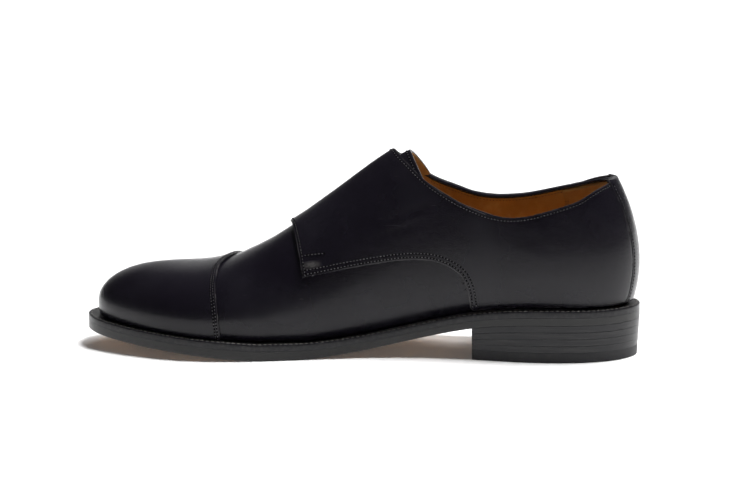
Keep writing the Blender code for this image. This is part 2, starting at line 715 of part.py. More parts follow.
def make_tongue():
    """The tongue lies inside the upper and ends above the flap's top edge."""
    rows = [(front, wrap, 0, top, top_wrap, 0) for front, wrap, top, top_wrap in TONGUE]
    ribs = ribbed(rows, RIB_STEPS, QUARTER_STEPS)
    lift = -(UPPER_WALL + TONGUE_GAP)
    return leather("tongue", [on_last(ribs[..., 0], ribs[..., 1], lift)], TONGUE_WALL, inward=True)


def wire(name, points, diameter, cyclic):
    """A round wire through points, closed at its ends unless it is a ring."""
    curve = bpy.data.curves.new(name, "CURVE")
    curve.dimensions = "3D"
    curve.bevel_depth = diameter / 2
    curve.bevel_resolution = 1
    curve.use_fill_caps = not cyclic
    run = curve.splines.new("POLY")
    run.points.add(len(points) - 1)
    for spot, point in zip(run.points, points):
        spot.co = (*point, 1.0)
    run.use_cyclic_u = cyclic
    return bpy.data.objects.new(name, curve)


def strap_points(name, rows, across, lifts):
    """Points over a strap, each at its own stand-off from the last."""
    surface = STRAPS[name](rows, across)
    return on_last(surface[:, 0], surface[:, 1], lifts)


def strap_height(name, row):
    """Stand-off of the strap's inner face at its middle."""
    return float(STRAPS[name](row, 0.5)[0, 2])


def make_buckle(name, number):
    """A ring in a rounded rectangle: its bar is under the strap, its rail is over it."""
    radius = BUCKLE_WIRE / 2
    bar = strap_height(name, BAR_ROW) - GAP - radius
    rail = strap_height(name, RAIL_ROW) + STRAP_WALL + GAP * 2 + radius
    turns = np.arange(RING_POINTS) * 2 * math.pi / RING_POINTS
    square = np.stack([np.cos(turns), np.sin(turns)], -1)
    square = np.sign(square) * np.abs(square) ** BUCKLE_CORNER
    middle, half = (BAR_ROW + RAIL_ROW) / 2, (BAR_ROW - RAIL_ROW) / 2
    rows = middle + half * square[:, 0]
    across = 0.5 + (0.5 + FRAME_OUTSIDE) * square[:, 1]
    lifts = rail + (bar - rail) * (square[:, 0] + 1) / 2
    ring = wire(f"buckle_{number}", strap_points(name, rows, across, lifts), BUCKLE_WIRE, True)

    over = PRONG_WIRE / 2 + GAP * 2
    reach = np.linspace(BAR_ROW, PRONG_TIP_ROW, PRONG_POINTS)
    heights = np.array([strap_height(name, row) + STRAP_WALL + over for row in reach])
    heights = np.maximum(heights, np.where(reach < PRONG_RISE_ROW, rail + radius + over, 0))
    line = strap_points(name, reach, np.full(len(reach), 0.5), heights)
    prong = wire(f"buckle_prong_{number}", line, PRONG_WIRE, False)
    return ring, prong


def make_tab(name, number):
    """The leather tab that holds the buckle's bar, sewn to the lateral quarter."""
    rows = np.linspace(TAB_START_ROW, TAB_END_ROW, TAB_ROWS)
    across = np.linspace(*TAB_EDGES, TAB_COLUMNS)
    points = [strap_points(name, np.full(len(across), row), across, OVER_QUARTER) for row in rows]
    return leather(f"buckle_tab_{number}", [np.stack(points)], TAB_WALL)


def main():
    clear_scene()
    shoe = Shoe()
    shoe.finish(make_outsole(), SOLE_LEATHER)
    shoe.finish(make_welt(), BLACK_EDGE)
    shoe.finish(make_insole(), TAN_LINING)
    top_lift, lifts = make_heel()
    shoe.finish(top_lift, BLACK_RUBBER)
    for lift in lifts:
        shoe.finish(lift, BLACK_EDGE)
    shoe.finish(make_upper(), BLACK_CALF)
    shoe.finish(make_toe_cap(), BLACK_CALF)
    shoe.finish(make_medial_quarter(), BLACK_CALF)
    shoe.finish(make_lateral_quarter(), BLACK_CALF)
    shoe.finish(make_back_strip(), BLACK_CALF)
    shoe.finish(make_tongue(), BLACK_CALF)
    for number, name in enumerate(STRAPS, start=1):
        for piece in make_buckle(name, number):
            shoe.finish(piece, NICKEL)
        shoe.finish(make_tab(name, number), BLACK_CALF)


main()
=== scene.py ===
"""Double monk strap shoe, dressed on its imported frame: a right shoe of EU size 43.

The toe points to -X, the medial side faces -Y and the buckles sit at +Y. Every leather
piece lies on one last, as in the frame: a place is a station, 0 at the heel's back to
1 at the toe's tip, and a wrap, 0 at the medial feather line, 1 on the ridge of the
foot and 2 at the lateral feather line. A lift is the stand-off from the last.
"""
import logging
import math
from dataclasses import dataclass, field
from enum import Enum
from typing import Any, Callable, Iterable, Sequence

import bmesh
import bpy
import numpy as np
from mathutils import Matrix, Vector
from mathutils.kdtree import KDTree


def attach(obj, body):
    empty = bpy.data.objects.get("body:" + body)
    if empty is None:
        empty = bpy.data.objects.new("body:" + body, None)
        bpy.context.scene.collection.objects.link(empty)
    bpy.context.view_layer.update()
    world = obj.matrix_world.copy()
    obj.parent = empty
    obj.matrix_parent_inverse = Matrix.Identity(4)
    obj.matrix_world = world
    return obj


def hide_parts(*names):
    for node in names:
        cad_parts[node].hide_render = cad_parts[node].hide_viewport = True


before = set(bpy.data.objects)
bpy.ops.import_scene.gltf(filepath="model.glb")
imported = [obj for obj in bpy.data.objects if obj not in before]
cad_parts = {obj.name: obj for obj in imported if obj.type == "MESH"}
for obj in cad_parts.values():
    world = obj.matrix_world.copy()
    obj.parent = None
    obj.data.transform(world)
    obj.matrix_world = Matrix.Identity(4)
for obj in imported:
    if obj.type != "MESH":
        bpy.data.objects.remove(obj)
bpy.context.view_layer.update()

LOG = logging.getLogger("shoe")
MM = 0.001
MERGE = 0.000012
CORE_REACH, CORE_HEIGHT = 0.106, 0.032
SHARP, SHADED_SHARP, ROUNDED = (math.radians(turn) for turn in (50.0, 48.0, 55.0))
FAR = 60.0
Array = np.ndarray
Colour = tuple[float, float, float]
Place = Callable[[Array, Array], Array]
Line = tuple[Array, Array]
Height = Callable[[Array], Array]
Outline = Callable[["Side", Array, bool], tuple[Array, Array]]


class Side(Enum):
    """The two sides of the foot, by the sign of Y."""

    MEDIAL = -1
    LATERAL = 1

    def wrap(self, rise: Array) -> Array:
        """The wrap at a rise, 0 at this side's feather line and 1 on the ridge."""
        return rise if self is Side.MEDIAL else 2 - rise


class Border(Enum):
    """The four borders of a panel, as the share of u or v that they lie at."""

    FOOT = "v0"
    TOP = "v1"
    BACK = "u0"
    FRONT = "u1"


# ---------------------------------------------------------------- the last

# Half widths of the sole at each station, as shares of the ball width
SOLE_OUTLINE = (
    # station, medial, lateral
    (0.03, 0.190, 0.190), (0.08, 0.284, 0.284), (0.15, 0.322, 0.322), (0.22, 0.314, 0.326),
    (0.30, 0.274, 0.332), (0.40, 0.258, 0.362), (0.50, 0.292, 0.428), (0.60, 0.370, 0.512),
    (0.67, 0.422, 0.548), (0.72, 0.446, 0.546), (0.78, 0.450, 0.508), (0.85, 0.403, 0.430),
    (0.92, 0.304, 0.312), (0.97, 0.198, 0.200),
)
# Underside of the sole behind and before the ball, and the outsole at its edge, as shares
HEEL_PITCH = ((0.00, 1.00), (0.10, 1.00), (0.20, 0.99), (0.28, 0.878), (0.36, 0.639),
              (0.44, 0.361), (0.52, 0.127), (0.57, 0.028), (0.60, -0.004), (0.64, -0.02))
TOE_PITCH = ((0.62, -0.02), (0.67, 0.0), (0.72, 0.125), (0.80, 0.375), (0.88, 0.604),
             (0.94, 0.781), (1.00, 1.00))
EDGE_SHARE = ((0.00, 0.766), (0.28, 0.75), (0.44, 0.75), (0.52, 0.83), (0.60, 0.967),
              (0.66, 1.00), (0.72, 1.00), (0.80, 0.916), (0.88, 0.866), (1.00, 0.80))
# Sections of the last above its widest line, and its foot below that line
LAST_SECTIONS = (
    # station, ridge's height, ridge aside, reach of the side's curve, reach of the top's
    (0.10, 0.952, 0.000, 0.36, 0.60), (0.20, 0.976, 0.000, 0.45, 0.55),
    (0.30, 1.000, -0.010, 0.53, 0.49), (0.38, 1.000, -0.020, 0.53, 0.44),
    (0.443, 0.956, -0.030, 0.50, 0.42), (0.503, 0.860, -0.035, 0.50, 0.44),
    (0.575, 0.714, -0.035, 0.50, 0.46), (0.647, 0.560, -0.030, 0.51, 0.50),
    (0.700, 0.461, -0.022, 0.53, 0.53), (0.745, 0.386, -0.015, 0.56, 0.56),
    (0.790, 0.343, -0.008, 0.58, 0.58), (0.845, 0.321, 0.000, 0.58, 0.56),
)
LAST_FOOT = (
    # station, margin medial, margin lateral, widest line's height, tuck below it
    (0.00, 0.55, 0.55, 1.00, 1.00), (0.10, 0.71, 0.71, 0.93, 1.10), (0.22, 0.71, 0.76, 0.84, 1.25),
    (0.35, 0.48, 0.67, 0.84, 1.45), (0.48, 0.43, 0.71, 0.76, 1.40), (0.62, 0.68, 0.80, 0.53, 0.95),
    (0.75, 0.90, 0.95, 0.40, 0.62), (0.90, 1.10, 1.10, 0.33, 0.42), (1.00, 1.67, 1.67, 0.31, 0.28),
)
RIDGE_HEEL, RIDGE_TOE, RIDGE_EASE = 0.165, 0.845, 0.05
WIDEST = 0.22


def spline(knots: Iterable[float], values: Any) -> Callable[[Any], Array]:
    """Natural cubic spline through the values, held at its ends.

    Args:
        knots: where the values stand, rising.
        values: one number, or one row of numbers, for each knot.

    Returns:
        A function of any array of places.
    """
    x, y = np.asarray(list(knots), float), np.asarray(values, float)
    last = len(x) - 1
    step = np.diff(x)
    matrix, right = np.eye(last + 1), np.zeros(y.shape)
    for i in range(1, last):
        matrix[i, i - 1:i + 2] = step[i - 1], 2 * (step[i - 1] + step[i]), step[i]
        right[i] = 6 * ((y[i + 1] - y[i]) / step[i] - (y[i] - y[i - 1]) / step[i - 1])
    bend = np.linalg.solve(matrix, right)

    def value(at: Any) -> Array:
        """The spline at the places."""
        at = np.clip(np.asarray(at, float), x[0], x[-1])
        i = np.clip(np.searchsorted(x, at) - 1, 0, last - 1)
        span, ahead, past = step[i], x[i + 1] - at, at - x[i]
        if y.ndim > 1:
            span, ahead, past = span[..., None], ahead[..., None], past[..., None]
        curve = (bend[i] * ahead ** 3 + bend[i + 1] * past ** 3) / (6 * span)
        line = (y[i] / span - bend[i] * span / 6) * ahead
        return curve + line + (y[i + 1] / span - bend[i + 1] * span / 6) * past

    return value


def column(rows: Sequence[Sequence[float]], index: int,
           scale: float = 1.0) -> Callable[[Any], Array]:
    """Spline of one column of a table over its first column."""
    return spline([row[0] for row in rows], [row[index] * scale for row in rows])


def angle_of(station: Any) -> Array:
    """Stations are spaced by the cosine of an angle, so that both ends are round."""
    return np.arccos(1 - 2 * np.clip(station, 0, 1))


def station_of(angle: Any) -> Array:
    """The station of an angle."""
    return (1 - np.cos(angle)) / 2


def unit(vectors: Array) -> Array:
    """The vectors at length 1."""
    return vectors / np.maximum(np.linalg.norm(vectors, axis=-1, keepdims=True), 1e-12)


@dataclass(frozen=True)
class Fold:
    """A crease in the leather: a soft trough with a low swell on each side of it."""

    path: tuple[tuple[float, float], ...]
    depth: float
    width: float


# The creases that wear has pressed in, by station and wrap, in millimetres
FOLDS = (
    Fold(((0.482, 0.535), (0.430, 0.520), (0.388, 0.512), (0.360, 0.500)), 0.12, 2.2),
    Fold(((0.470, 0.475), (0.425, 0.462), (0.385, 0.455)), 0.09, 2.4),
    Fold(((0.648, 0.42), (0.655, 0.60), (0.660, 0.82), (0.659, 1.05), (0.652, 1.30)), 0.07, 3.4),
    Fold(((0.682, 0.40), (0.690, 0.58), (0.694, 0.80), (0.692, 1.05), (0.684, 1.28)), 0.05, 3.2),
    Fold(((0.655, 1.35), (0.662, 1.50), (0.668, 1.66)), 0.09, 3.0),
    Fold(((0.686, 1.34), (0.694, 1.50), (0.700, 1.64)), 0.07, 3.0),
    Fold(((0.586, 0.495), (0.577, 0.487), (0.568, 0.480)), -0.45, 1.9),
    Fold(((0.150, 0.30), (0.185, 0.36), (0.225, 0.37)), 0.06, 4.0),
    Fold(((0.160, 1.66), (0.195, 1.62), (0.235, 1.61)), 0.06, 4.0),
)


@dataclass
class Last:
    """The last that all the leather lies on, with the sole's outline and heights."""

    sole_length: float = 0.303
    ball_width: float = 0.105
    toe_spring: float = 0.0096
    outsole_thickness: float = 0.0052
    welt_thickness: float = 0.0032
    insole_thickness: float = 0.0052
    heel_height: float = 0.0205
    instep_height: float = 0.0976
    welt_margin: float = 0.0042
    counter_height: float = 0.0225
    feather_tuck: float = 0.0036
    upper_wall: float = 0.0018
    gap: float = 0.0003
    folds: tuple[Fold, ...] = FOLDS

    def __post_init__(self) -> None:
        """Draw the curves that the tables give."""
        knots = [0.0] + [float(angle_of(row[0])) for row in SOLE_OUTLINE] + [math.pi]
        self.half = {
            side: spline(knots, [0.0] + [row[i] * self.ball_width for row in SOLE_OUTLINE] + [0.0])
            for i, side in enumerate(Side, start=1)
        }
        around = np.linspace(0, math.pi, 400)
        wide = {side: float(self.half[side](around).max()) for side in Side}
        self.shift = (wide[Side.LATERAL] - wide[Side.MEDIAL]) / 2
        self.heel_curve, self.toe_curve = column(HEEL_PITCH, 1), column(TOE_PITCH, 1)
        self.edge_curve = column(EDGE_SHARE, 1, self.outsole_thickness)
        self.ridge_rise = column(LAST_SECTIONS, 1, self.instep_height)
        self.ridge_aside = column(LAST_SECTIONS, 2, self.ball_width)
        self.side_reach, self.top_reach = column(LAST_SECTIONS, 3), column(LAST_SECTIONS, 4)
        self.margin = {side: column(LAST_FOOT, i, self.welt_margin)
                       for i, side in enumerate(Side, start=1)}
        self.widest = column(LAST_FOOT, 3, self.counter_height)
        self.tuck = column(LAST_FOOT, 4, self.feather_tuck)
        self.creases = [self._crease(fold) for fold in self.folds]

    def underside(self, x: Array) -> Array:
        """Height of the outsole's lower face: flat on the floor under the ball."""
        station = 0.5 - x / self.sole_length
        heel = self.heel_height * np.maximum(self.heel_curve(station), 0)
        return heel + self.toe_spring * np.maximum(self.toe_curve(station), 0)

    def outsole_top(self, x: Array) -> Array:
        """Height of the outsole's upper face."""
        return self.underside(x) + self.edge_curve(0.5 - x / self.sole_length)

    def welt_top(self, x: Array) -> Array:
        """Height of the welt's upper face."""
        return self.outsole_top(x) + self.gap + self.welt_thickness

    def edge(self, side: Side, angle: Any, inset: Any = 0.0) -> tuple[Array, Array]:
        """A point of the sole's outline, moved inwards by inset: x and y."""
        angle, near = np.asarray(angle, float), 1e-3
        behind, ahead = np.clip(angle - near, 0, math.pi), np.clip(angle + near, 0, math.pi)
        along_x = self.sole_length / 2 * (np.cos(ahead) - np.cos(behind))
        along_y = side.value * (self.half[side](ahead) - self.half[side](behind))
        at_end = (angle < near) | (angle > math.pi - near)
        along_x = np.where(at_end, 0.0, along_x)
        length = np.hypot(along_x, along_y)
        x = self.sole_length / 2 * np.cos(angle) - side.value * along_y / length * inset
        y = side.value * self.half[side](angle) + side.value * along_x / length * inset
        return x, y

    def _ridge_station(self, station: Array) -> Array:
        """The ridge ends inside the heel and the toe, where the last is round."""
        rear, front = RIDGE_HEEL + RIDGE_EASE, RIDGE_TOE - RIDGE_EASE
        eased = RIDGE_HEEL + RIDGE_EASE * np.exp(np.minimum(station - rear, 0) / RIDGE_EASE)
        eased = np.where(station < rear, eased, station)
        toe = RIDGE_TOE - RIDGE_EASE * np.exp(np.minimum(front - station, 0) / RIDGE_EASE)
        return np.where(station > front, toe, eased)

    def side_point(self, side: Side, angle: Array, rise: Array) -> Array:
        """One side of the last: rise 0 is the feather line and 1 is the ridge."""
        station = station_of(angle)
        foot_x, foot_y = self.edge(side, angle, self.margin[side](station))
        spine = self._ridge_station(station)
        ridge_x, ridge_y = self.sole_length * (0.5 - spine), self.ridge_aside(spine)
        base = self.welt_top(foot_x) + self.gap
        widest = base + self.widest(station)
        ridge = self.welt_top(ridge_x) + self.ridge_rise(spine)
        above = np.clip((rise - WIDEST) / (1 - WIDEST), 0, 1)
        below = np.clip(rise / WIDEST, 0, 1)
        leave, arrive = 3 * above * (1 - above) ** 2, 3 * above ** 2 * (1 - above)
        reach = np.hypot(foot_x - ridge_x, foot_y - ridge_y)
        out = (1 - above) ** 3 + leave + arrive * self.top_reach(spine)
        out = out - self.tuck(station) * (1 - below) ** 2 / reach
        climb = leave * self.side_reach(spine) + arrive + above ** 3
        z = base + (widest - base) * below + (ridge - widest) * climb
        x, y = ridge_x + (foot_x - ridge_x) * out, ridge_y + (foot_y - ridge_y) * out
        return np.stack([x, y, z], -1)

    def point(self, angle: Array, wrap: Array) -> Array:
        """The last all round, from the medial feather line to the lateral one."""
        medial = self.side_point(Side.MEDIAL, angle, np.minimum(wrap, 1))
        lateral = self.side_point(Side.LATERAL, angle, np.minimum(2 - wrap, 1))
        return np.where((wrap <= 1)[..., None], medial, lateral)

    def _normal(self, angle: Array, wrap: Array) -> Array:
        """The outward normal, by small steps along the last and around it."""
        near = 2e-3
        wrap = np.clip(wrap, near, 2 - near)
        along = self.point(np.clip(angle + near, 0, math.pi), wrap)
        along = along - self.point(np.clip(angle - near, 0, math.pi), wrap)
        around = self.point(angle, wrap + near) - self.point(angle, wrap - near)
        return unit(np.cross(around, along))

    def normal(self, angle: Array, wrap: Array) -> Array:
        """The mean of two normals beside the place, because the ridge's ends have none."""
        return unit(self._normal(angle, wrap - 0.01) + self._normal(angle, wrap + 0.01))

    def _crease(self, fold: Fold) -> tuple[Array, Array, Fold]:
        """A crease's points on the last, and how deep it is at each."""
        path = np.array(fold.path)
        run = spline(range(len(path)), path)(np.linspace(0, len(path) - 1, 24))
        fade = np.sin(np.linspace(0.12, math.pi - 0.12, 24)) ** 0.7
        return self.point(angle_of(run[:, 0]), run[:, 1]), fade, fold

    def pressed(self, points: Array) -> Array:
        """How far the creases move the leather at points of the last."""
        moved = np.zeros(len(points))
        for run, fade, fold in self.creases:
            away = np.linalg.norm(points[:, None] - run[None], axis=-1)
            nearest = away.argmin(axis=1)
            share = away[np.arange(len(points)), nearest] / (fold.width * MM)
            shape = np.exp(-share ** 2) - 0.45 * np.exp(-((share - 1.7) / 0.8) ** 2)
            moved -= fold.depth * MM * fade[nearest] * shape
        return moved

    def on(self, angle: Any, wrap: Any, lift: Any = 0.0) -> Array:
        """Points of the shoe that stand off the last by lift, creases and all."""
        angle, wrap, lift = (part.ravel() for part in np.broadcast_arrays(
            *(np.asarray(part, float) for part in (angle, wrap, lift))))
        base = self.point(angle, wrap)
        points = base + self.normal(angle, wrap) * (lift + self.pressed(base))[:, None]
        points[:, 1] -= self.shift
        return points

    def solve_angle(self, side: Side, rise: Array, aside: float) -> Array:
        """The angle at which the last stands aside of the heel's middle by a distance."""
        low, high = np.zeros(rise.shape), np.full(rise.shape, 1.0)
        for _ in range(30):
            middle = (low + high) / 2
            over = np.abs(self.side_point(side, middle, rise)[..., 1]) > aside
            low, high = np.where(over, low, middle), np.where(over, middle, high)
        return (low + high) / 2


LAST = Last()


def placed(x: Array, y: Array, z: Array) -> Array:
    """Points of the sole, moved from the last's own place to the part's."""
    return np.stack([x, y - LAST.shift, z], -1)


# ---------------------------------------------------------------- finishes


class Maths:
    """A shader socket; Python's operators on it add Math nodes."""

    def __init__(self, recipe: "Recipe", socket: bpy.types.NodeSocket) -> None:
        """Wrap a socket of a recipe."""
        self.recipe, self.socket = recipe, socket

    def __add__(self, other: Any) -> "Maths":
        """self + other."""
        return self.recipe.maths("ADD", self, other)

    def __sub__(self, other: Any) -> "Maths":
        """self - other."""
        return self.recipe.maths("SUBTRACT", self, other)

    def __rsub__(self, other: Any) -> "Maths":
        """other - self."""
        return self.recipe.maths("SUBTRACT", other, self)

    def __mul__(self, other: Any) -> "Maths":
        """self * other."""
        return self.recipe.maths("MULTIPLY", self, other)

    def __truediv__(self, other: Any) -> "Maths":
        """self / other."""
        return self.recipe.maths("DIVIDE", self, other)

    def __abs__(self) -> "Maths":
        """The size of self."""
        return self.recipe.maths("ABSOLUTE", self)

    __radd__ = __add__
    __rmul__ = __mul__


class Recipe:
    """One material's node tree, grown from its Principled shader."""

    def __init__(self, name: str) -> None:
        """Start a material."""
        self.material = bpy.data.materials.new(name)
        self.material.use_nodes = True
        self.tree = self.material.node_tree
        self.shader = self.tree.nodes["Principled BSDF"]
        self.place = self.node("ShaderNodeTexCoord").outputs["Object"]

    def put(self, socket: bpy.types.NodeSocket, value: Any) -> None:
        """Give a socket a number, a colour or a link."""
        if isinstance(value, Maths):
            value = value.socket
        if isinstance(value, bpy.types.NodeSocket):
            self.tree.links.new(value, socket)
        elif isinstance(value, tuple) and socket.type == "RGBA":
            socket.default_value = (*value, 1.0)
        else:
            socket.default_value = value

    def node(self, kind: str, settings: dict | None = None,
             sockets: dict | None = None) -> bpy.types.Node:
        """Add a node.

        Args:
            kind: the node's type.
            settings: its own settings.
            sockets: values or links, by the socket's name or number.

        Returns:
            The node.
        """
        made = self.tree.nodes.new(kind)
        for key, value in (settings or {}).items():
            setattr(made, key, value)
        for key, value in (sockets or {}).items():
            self.put(made.inputs[key], value)
        return made

    def maths(self, operation: str, *values: Any) -> Maths:
        """A Math node on the values."""
        made = self.node("ShaderNodeMath", {"operation": operation}, dict(enumerate(values)))
        return Maths(self, made.outputs[0])

    def step(self, value: Any, low: float, high: float) -> Maths:
        """0 below low and 1 above high, smooth between."""
        sockets = {"Value": value, "From Min": low, "From Max": high}
        made = self.node("ShaderNodeMapRange", {"interpolation_type": "SMOOTHSTEP"}, sockets)
        return Maths(self, made.outputs[0])

    def mix(self, share: Any, first: Any, second: Any) -> bpy.types.NodeSocket:
        """A colour between two."""
        made = self.node("ShaderNodeMix", {"data_type": "RGBA"}, {0: share, 6: first, 7: second})
        return made.outputs[2]

    def scaled(self, factors: tuple[float, float, float]) -> bpy.types.NodeSocket:
        """The piece's own coordinates, drawn out by factors."""
        sockets = {0: self.place, 1: factors}
        return self.node("ShaderNodeVectorMath", {"operation": "MULTIPLY"}, sockets).outputs[0]

    def noise(self, scale: float, detail: float = 2.0, rough: float = 0.5,
              factors: tuple[float, float, float] | None = None) -> Maths:
        """Noise of a scale in waves a metre."""
        place = self.scaled(factors) if factors else self.place
        sockets = {"Vector": place, "Scale": scale, "Detail": detail, "Roughness": rough}
        return Maths(self, self.node("ShaderNodeTexNoise", None, sockets).outputs[0])

    def cells(self, scale: float, feature: str = "F1") -> Maths:
        """Distance in a pattern of cells."""
        settings = {"feature": feature}
        sockets = {"Vector": self.place, "Scale": scale}
        return Maths(self, self.node("ShaderNodeTexVoronoi", settings, sockets).outputs["Distance"])

    def tag(self, name: str) -> Maths:
        """A number that the mesh carries."""
        made = self.node("ShaderNodeAttribute", {"attribute_name": name})
        return Maths(self, made.outputs["Fac"])

    def rough(self, height: Any, depth: float, strength: float = 1.0) -> None:
        """Bump the surface by a height of a depth in metres."""
        sockets = {"Height": height, "Distance": depth, "Strength": strength}
        made = self.node("ShaderNodeBump", None, sockets)
        self.put(self.shader.inputs["Normal"], made.outputs[0])

    def set(self, **values: Any) -> None:
        """Set the shader's sockets, with _ for a space in a name."""
        for key, value in values.items():
            self.put(self.shader.inputs[key.replace("_", " ")], value)


@dataclass(frozen=True)
class Calf:
    """Polished black calf: tight grain under wax, dipped at its seams, worn pale at its edges; where
    asked, a lighter area of painted highlight.
    """

    name: str = "black_calf"
    body: Colour = (0.0050, 0.0041, 0.0072)
    faded: Colour = (0.0100, 0.0090, 0.0128)
    # Pale grey of worn edges and scratches, and also of the painted highlight on the flap
    wear_and_highlight: Colour = (0.060, 0.057, 0.056)
    gloss: float = 0.175
    coat: float = 0.05
    seam_rows: tuple[float, ...] = (1.4, 3.5)
    hem_rows: tuple[float, ...] = (1.6,)
    # Whether a lighter area of painted highlight is laid round the points that the mesh's tag gives
    painted_highlight_patch: bool = False

    def make(self) -> bpy.types.Material:
        """Build the material."""
        r = Recipe(self.name)
        seam, hem = r.tag("seam"), r.tag("hem")
        broad, patchy = r.noise(26, 3), r.noise(120, 4, 0.6)
        grain = r.noise(1500, 3, 0.6)
        pores = r.cells(1250, "DISTANCE_TO_EDGE")
        streak = r.noise(90, 3, 0.55, (1.0, 6.0, 4.0))
        scratch = r.step(r.noise(60, 2, 0.5, (1.0, 14.0, 9.0)), 0.735, 0.76)
        worn = 1 - r.step(hem, 0.1, 0.9)
        worn_seam = 1 - r.step(seam, 0.1, 0.8)
        edge = r.maths("MAXIMUM", worn, worn_seam) * r.step(patchy, 0.35, 0.65)
        colour = r.mix(r.step(broad, 0.3, 0.75), self.body, self.faded)
        colour = r.mix(edge * 0.5, colour, self.wear_and_highlight)
        colour = r.mix(scratch * 0.15, colour, self.wear_and_highlight)
        # Painted highlight: a pale area round the tagged points, standing in for light caught on the
        # swell at the flap's front corner
        if self.painted_highlight_patch:
            painted_highlight = (1 - r.step(r.tag("painted_highlight"), 0.4, 2.6)) * r.step(patchy, 0.3, 0.6)
            colour = r.mix(painted_highlight * 0.75, colour, self.wear_and_highlight)
            edge = r.maths("MAXIMUM", edge, painted_highlight)
        dips: Any = 0.0
        for tagged, rows in ((seam, self.seam_rows), (hem, self.hem_rows)):
            for row in rows:
                dips = (1 - r.step(abs(tagged - row), 0.1, 0.6)) + dips
        roughness = self.gloss + (broad - 0.5) * 0.10 + (patchy - 0.5) * 0.10
        roughness = roughness + edge * 0.12 + scratch * 0.05
        r.set(Base_Color=colour, Roughness=roughness, Coat_Weight=self.coat, Coat_Roughness=0.16,
              Specular_IOR_Level=0.26)
        height = grain * 0.45 + r.step(pores, 0.0, 0.12) * 0.3 + streak * 0.5 + patchy * 1.1
        r.rough(height - dips * 0.35, 0.00006)
        return r.material


@dataclass(frozen=True)
class LiningLeather:
    """Vegetable tanned lining calf: warm, matt, darker where hands and heels have been."""

    name: str = "tan_lining"
    body: Colour = (0.47, 0.255, 0.085)
    dark: Colour = (0.36, 0.180, 0.052)
    light: Colour = (0.56, 0.340, 0.140)
    gloss: float = 0.52

    def make(self) -> bpy.types.Material:
        """Build the material."""
        r = Recipe(self.name)
        broad, fine = r.noise(34, 4, 0.6), r.noise(1100, 3, 0.6)
        pores = r.cells(900, "DISTANCE_TO_EDGE")
        colour = r.mix(r.step(broad, 0.30, 0.72), self.dark, self.body)
        colour = r.mix(r.step(r.noise(160, 3), 0.5, 0.8) * 0.6, colour, self.light)
        roughness = self.gloss + (broad - 0.5) * 0.18
        r.set(Base_Color=colour, Roughness=roughness, Specular_IOR_Level=0.35)
        r.rough(fine * 0.5 + r.step(pores, 0.0, 0.14) * 0.4, 0.00007)
        return r.material


@dataclass(frozen=True)
class EdgeInk:
    """Leather edges, inked black and burnished: fibres show faintly along them."""

    name: str = "black_edge"
    body: Colour = (0.0095, 0.0092, 0.0112)
    fibre: Colour = (0.026, 0.025, 0.026)
    gloss: float = 0.34
    layers: float = 900.0
    drawn_out: tuple[float, float, float] = (0.05, 0.05, 1.0)
    joints: bool = False
    crack: Colour = (0.002, 0.002, 0.002)

    def make(self) -> bpy.types.Material:
        """Build the material."""
        r = Recipe(self.name)
        fibres = r.noise(self.layers, 3, 0.6, self.drawn_out)
        broad = r.noise(70, 3)
        specks = r.step(r.noise(700, 2), 0.66, 0.74)
        colour = r.mix(r.step(fibres, 0.42, 0.75), self.body, self.fibre)
        colour = r.mix(specks * 0.4, colour, self.fibre)
        roughness = self.gloss + (broad - 0.5) * 0.2 + (fibres - 0.5) * 0.12
        height = fibres * 1.0 + broad * 0.8
        if self.joints:
            open_here = r.step(r.noise(260, 3, 0.6, (0.3, 0.3, 1.0)), 0.40, 0.62)
            joint = (1 - r.step(r.tag("seam"), 0.05, 0.26)) * (0.25 + open_here * 0.75)
            colour = r.mix(joint * 0.8, colour, self.crack)
            height = height - joint * 1.2
        r.set(Base_Color=colour, Roughness=roughness, Specular_IOR_Level=0.3, Coat_Weight=0.05)
        r.rough(height, 0.00006)
        return r.material


@dataclass(frozen=True)
class SoleFinish:
    """The outsole: natural leather below, scuffed where it treads, with a black inked rim."""

    name: str = "sole_leather"
    body: Colour = (0.43, 0.235, 0.105)
    tread: Colour = (0.235, 0.150, 0.085)
    ink: Colour = (0.0125, 0.0120, 0.0122)
    channel: float = 5.6

    def make(self) -> bpy.types.Material:
        """Build the material."""
        r = Recipe(self.name)
        rim, tread = r.tag("rim"), r.tag("tread")
        fibres, broad = r.noise(520, 4, 0.65), r.noise(40, 4, 0.6)
        scuffs = r.step(r.noise(240, 3, 0.6, (1.0, 5.0, 1.0)), 0.52, 0.70)
        worn = tread * (0.45 + scuffs * 0.55)
        groove = 1 - r.step(abs(rim - self.channel), 0.15, 0.55)
        inked = 1 - r.step(rim + (broad - 0.5) * 0.8, 0.7, 1.3)
        colour = r.mix(r.step(broad, 0.3, 0.7) * 0.5, self.body, self.tread)
        colour = r.mix(worn * 0.8, colour, self.tread)
        colour = r.mix(groove * 0.7, colour, self.tread)
        colour = r.mix(inked, colour, self.ink)
        roughness = 0.5 - inked * 0.14 + worn * 0.2 + (fibres - 0.5) * 0.1
        r.set(Base_Color=colour, Roughness=roughness, Specular_IOR_Level=0.4)
        r.rough(fibres * 0.7 + broad - groove * 3.0 - worn * 0.6, 0.00007)
        return r.material


@dataclass(frozen=True)
class Rubber:
    """The top lift's rubber: dull, fine in texture and greyed in patches."""

    name: str = "black_rubber"
    body: Colour = (0.0110, 0.0106, 0.0128)
    dust: Colour = (0.030, 0.029, 0.029)

    def make(self) -> bpy.types.Material:
        """Build the material."""
        r = Recipe(self.name)
        grit, broad = r.noise(1300, 2), r.noise(90, 4, 0.6)
        colour = r.mix(r.step(broad, 0.45, 0.75) * 0.6, self.body, self.dust)
        r.set(Base_Color=colour, Roughness=0.55 + (broad - 0.5) * 0.2, Specular_IOR_Level=0.35)
        r.rough(grit + broad, 0.00006)
        return r.material


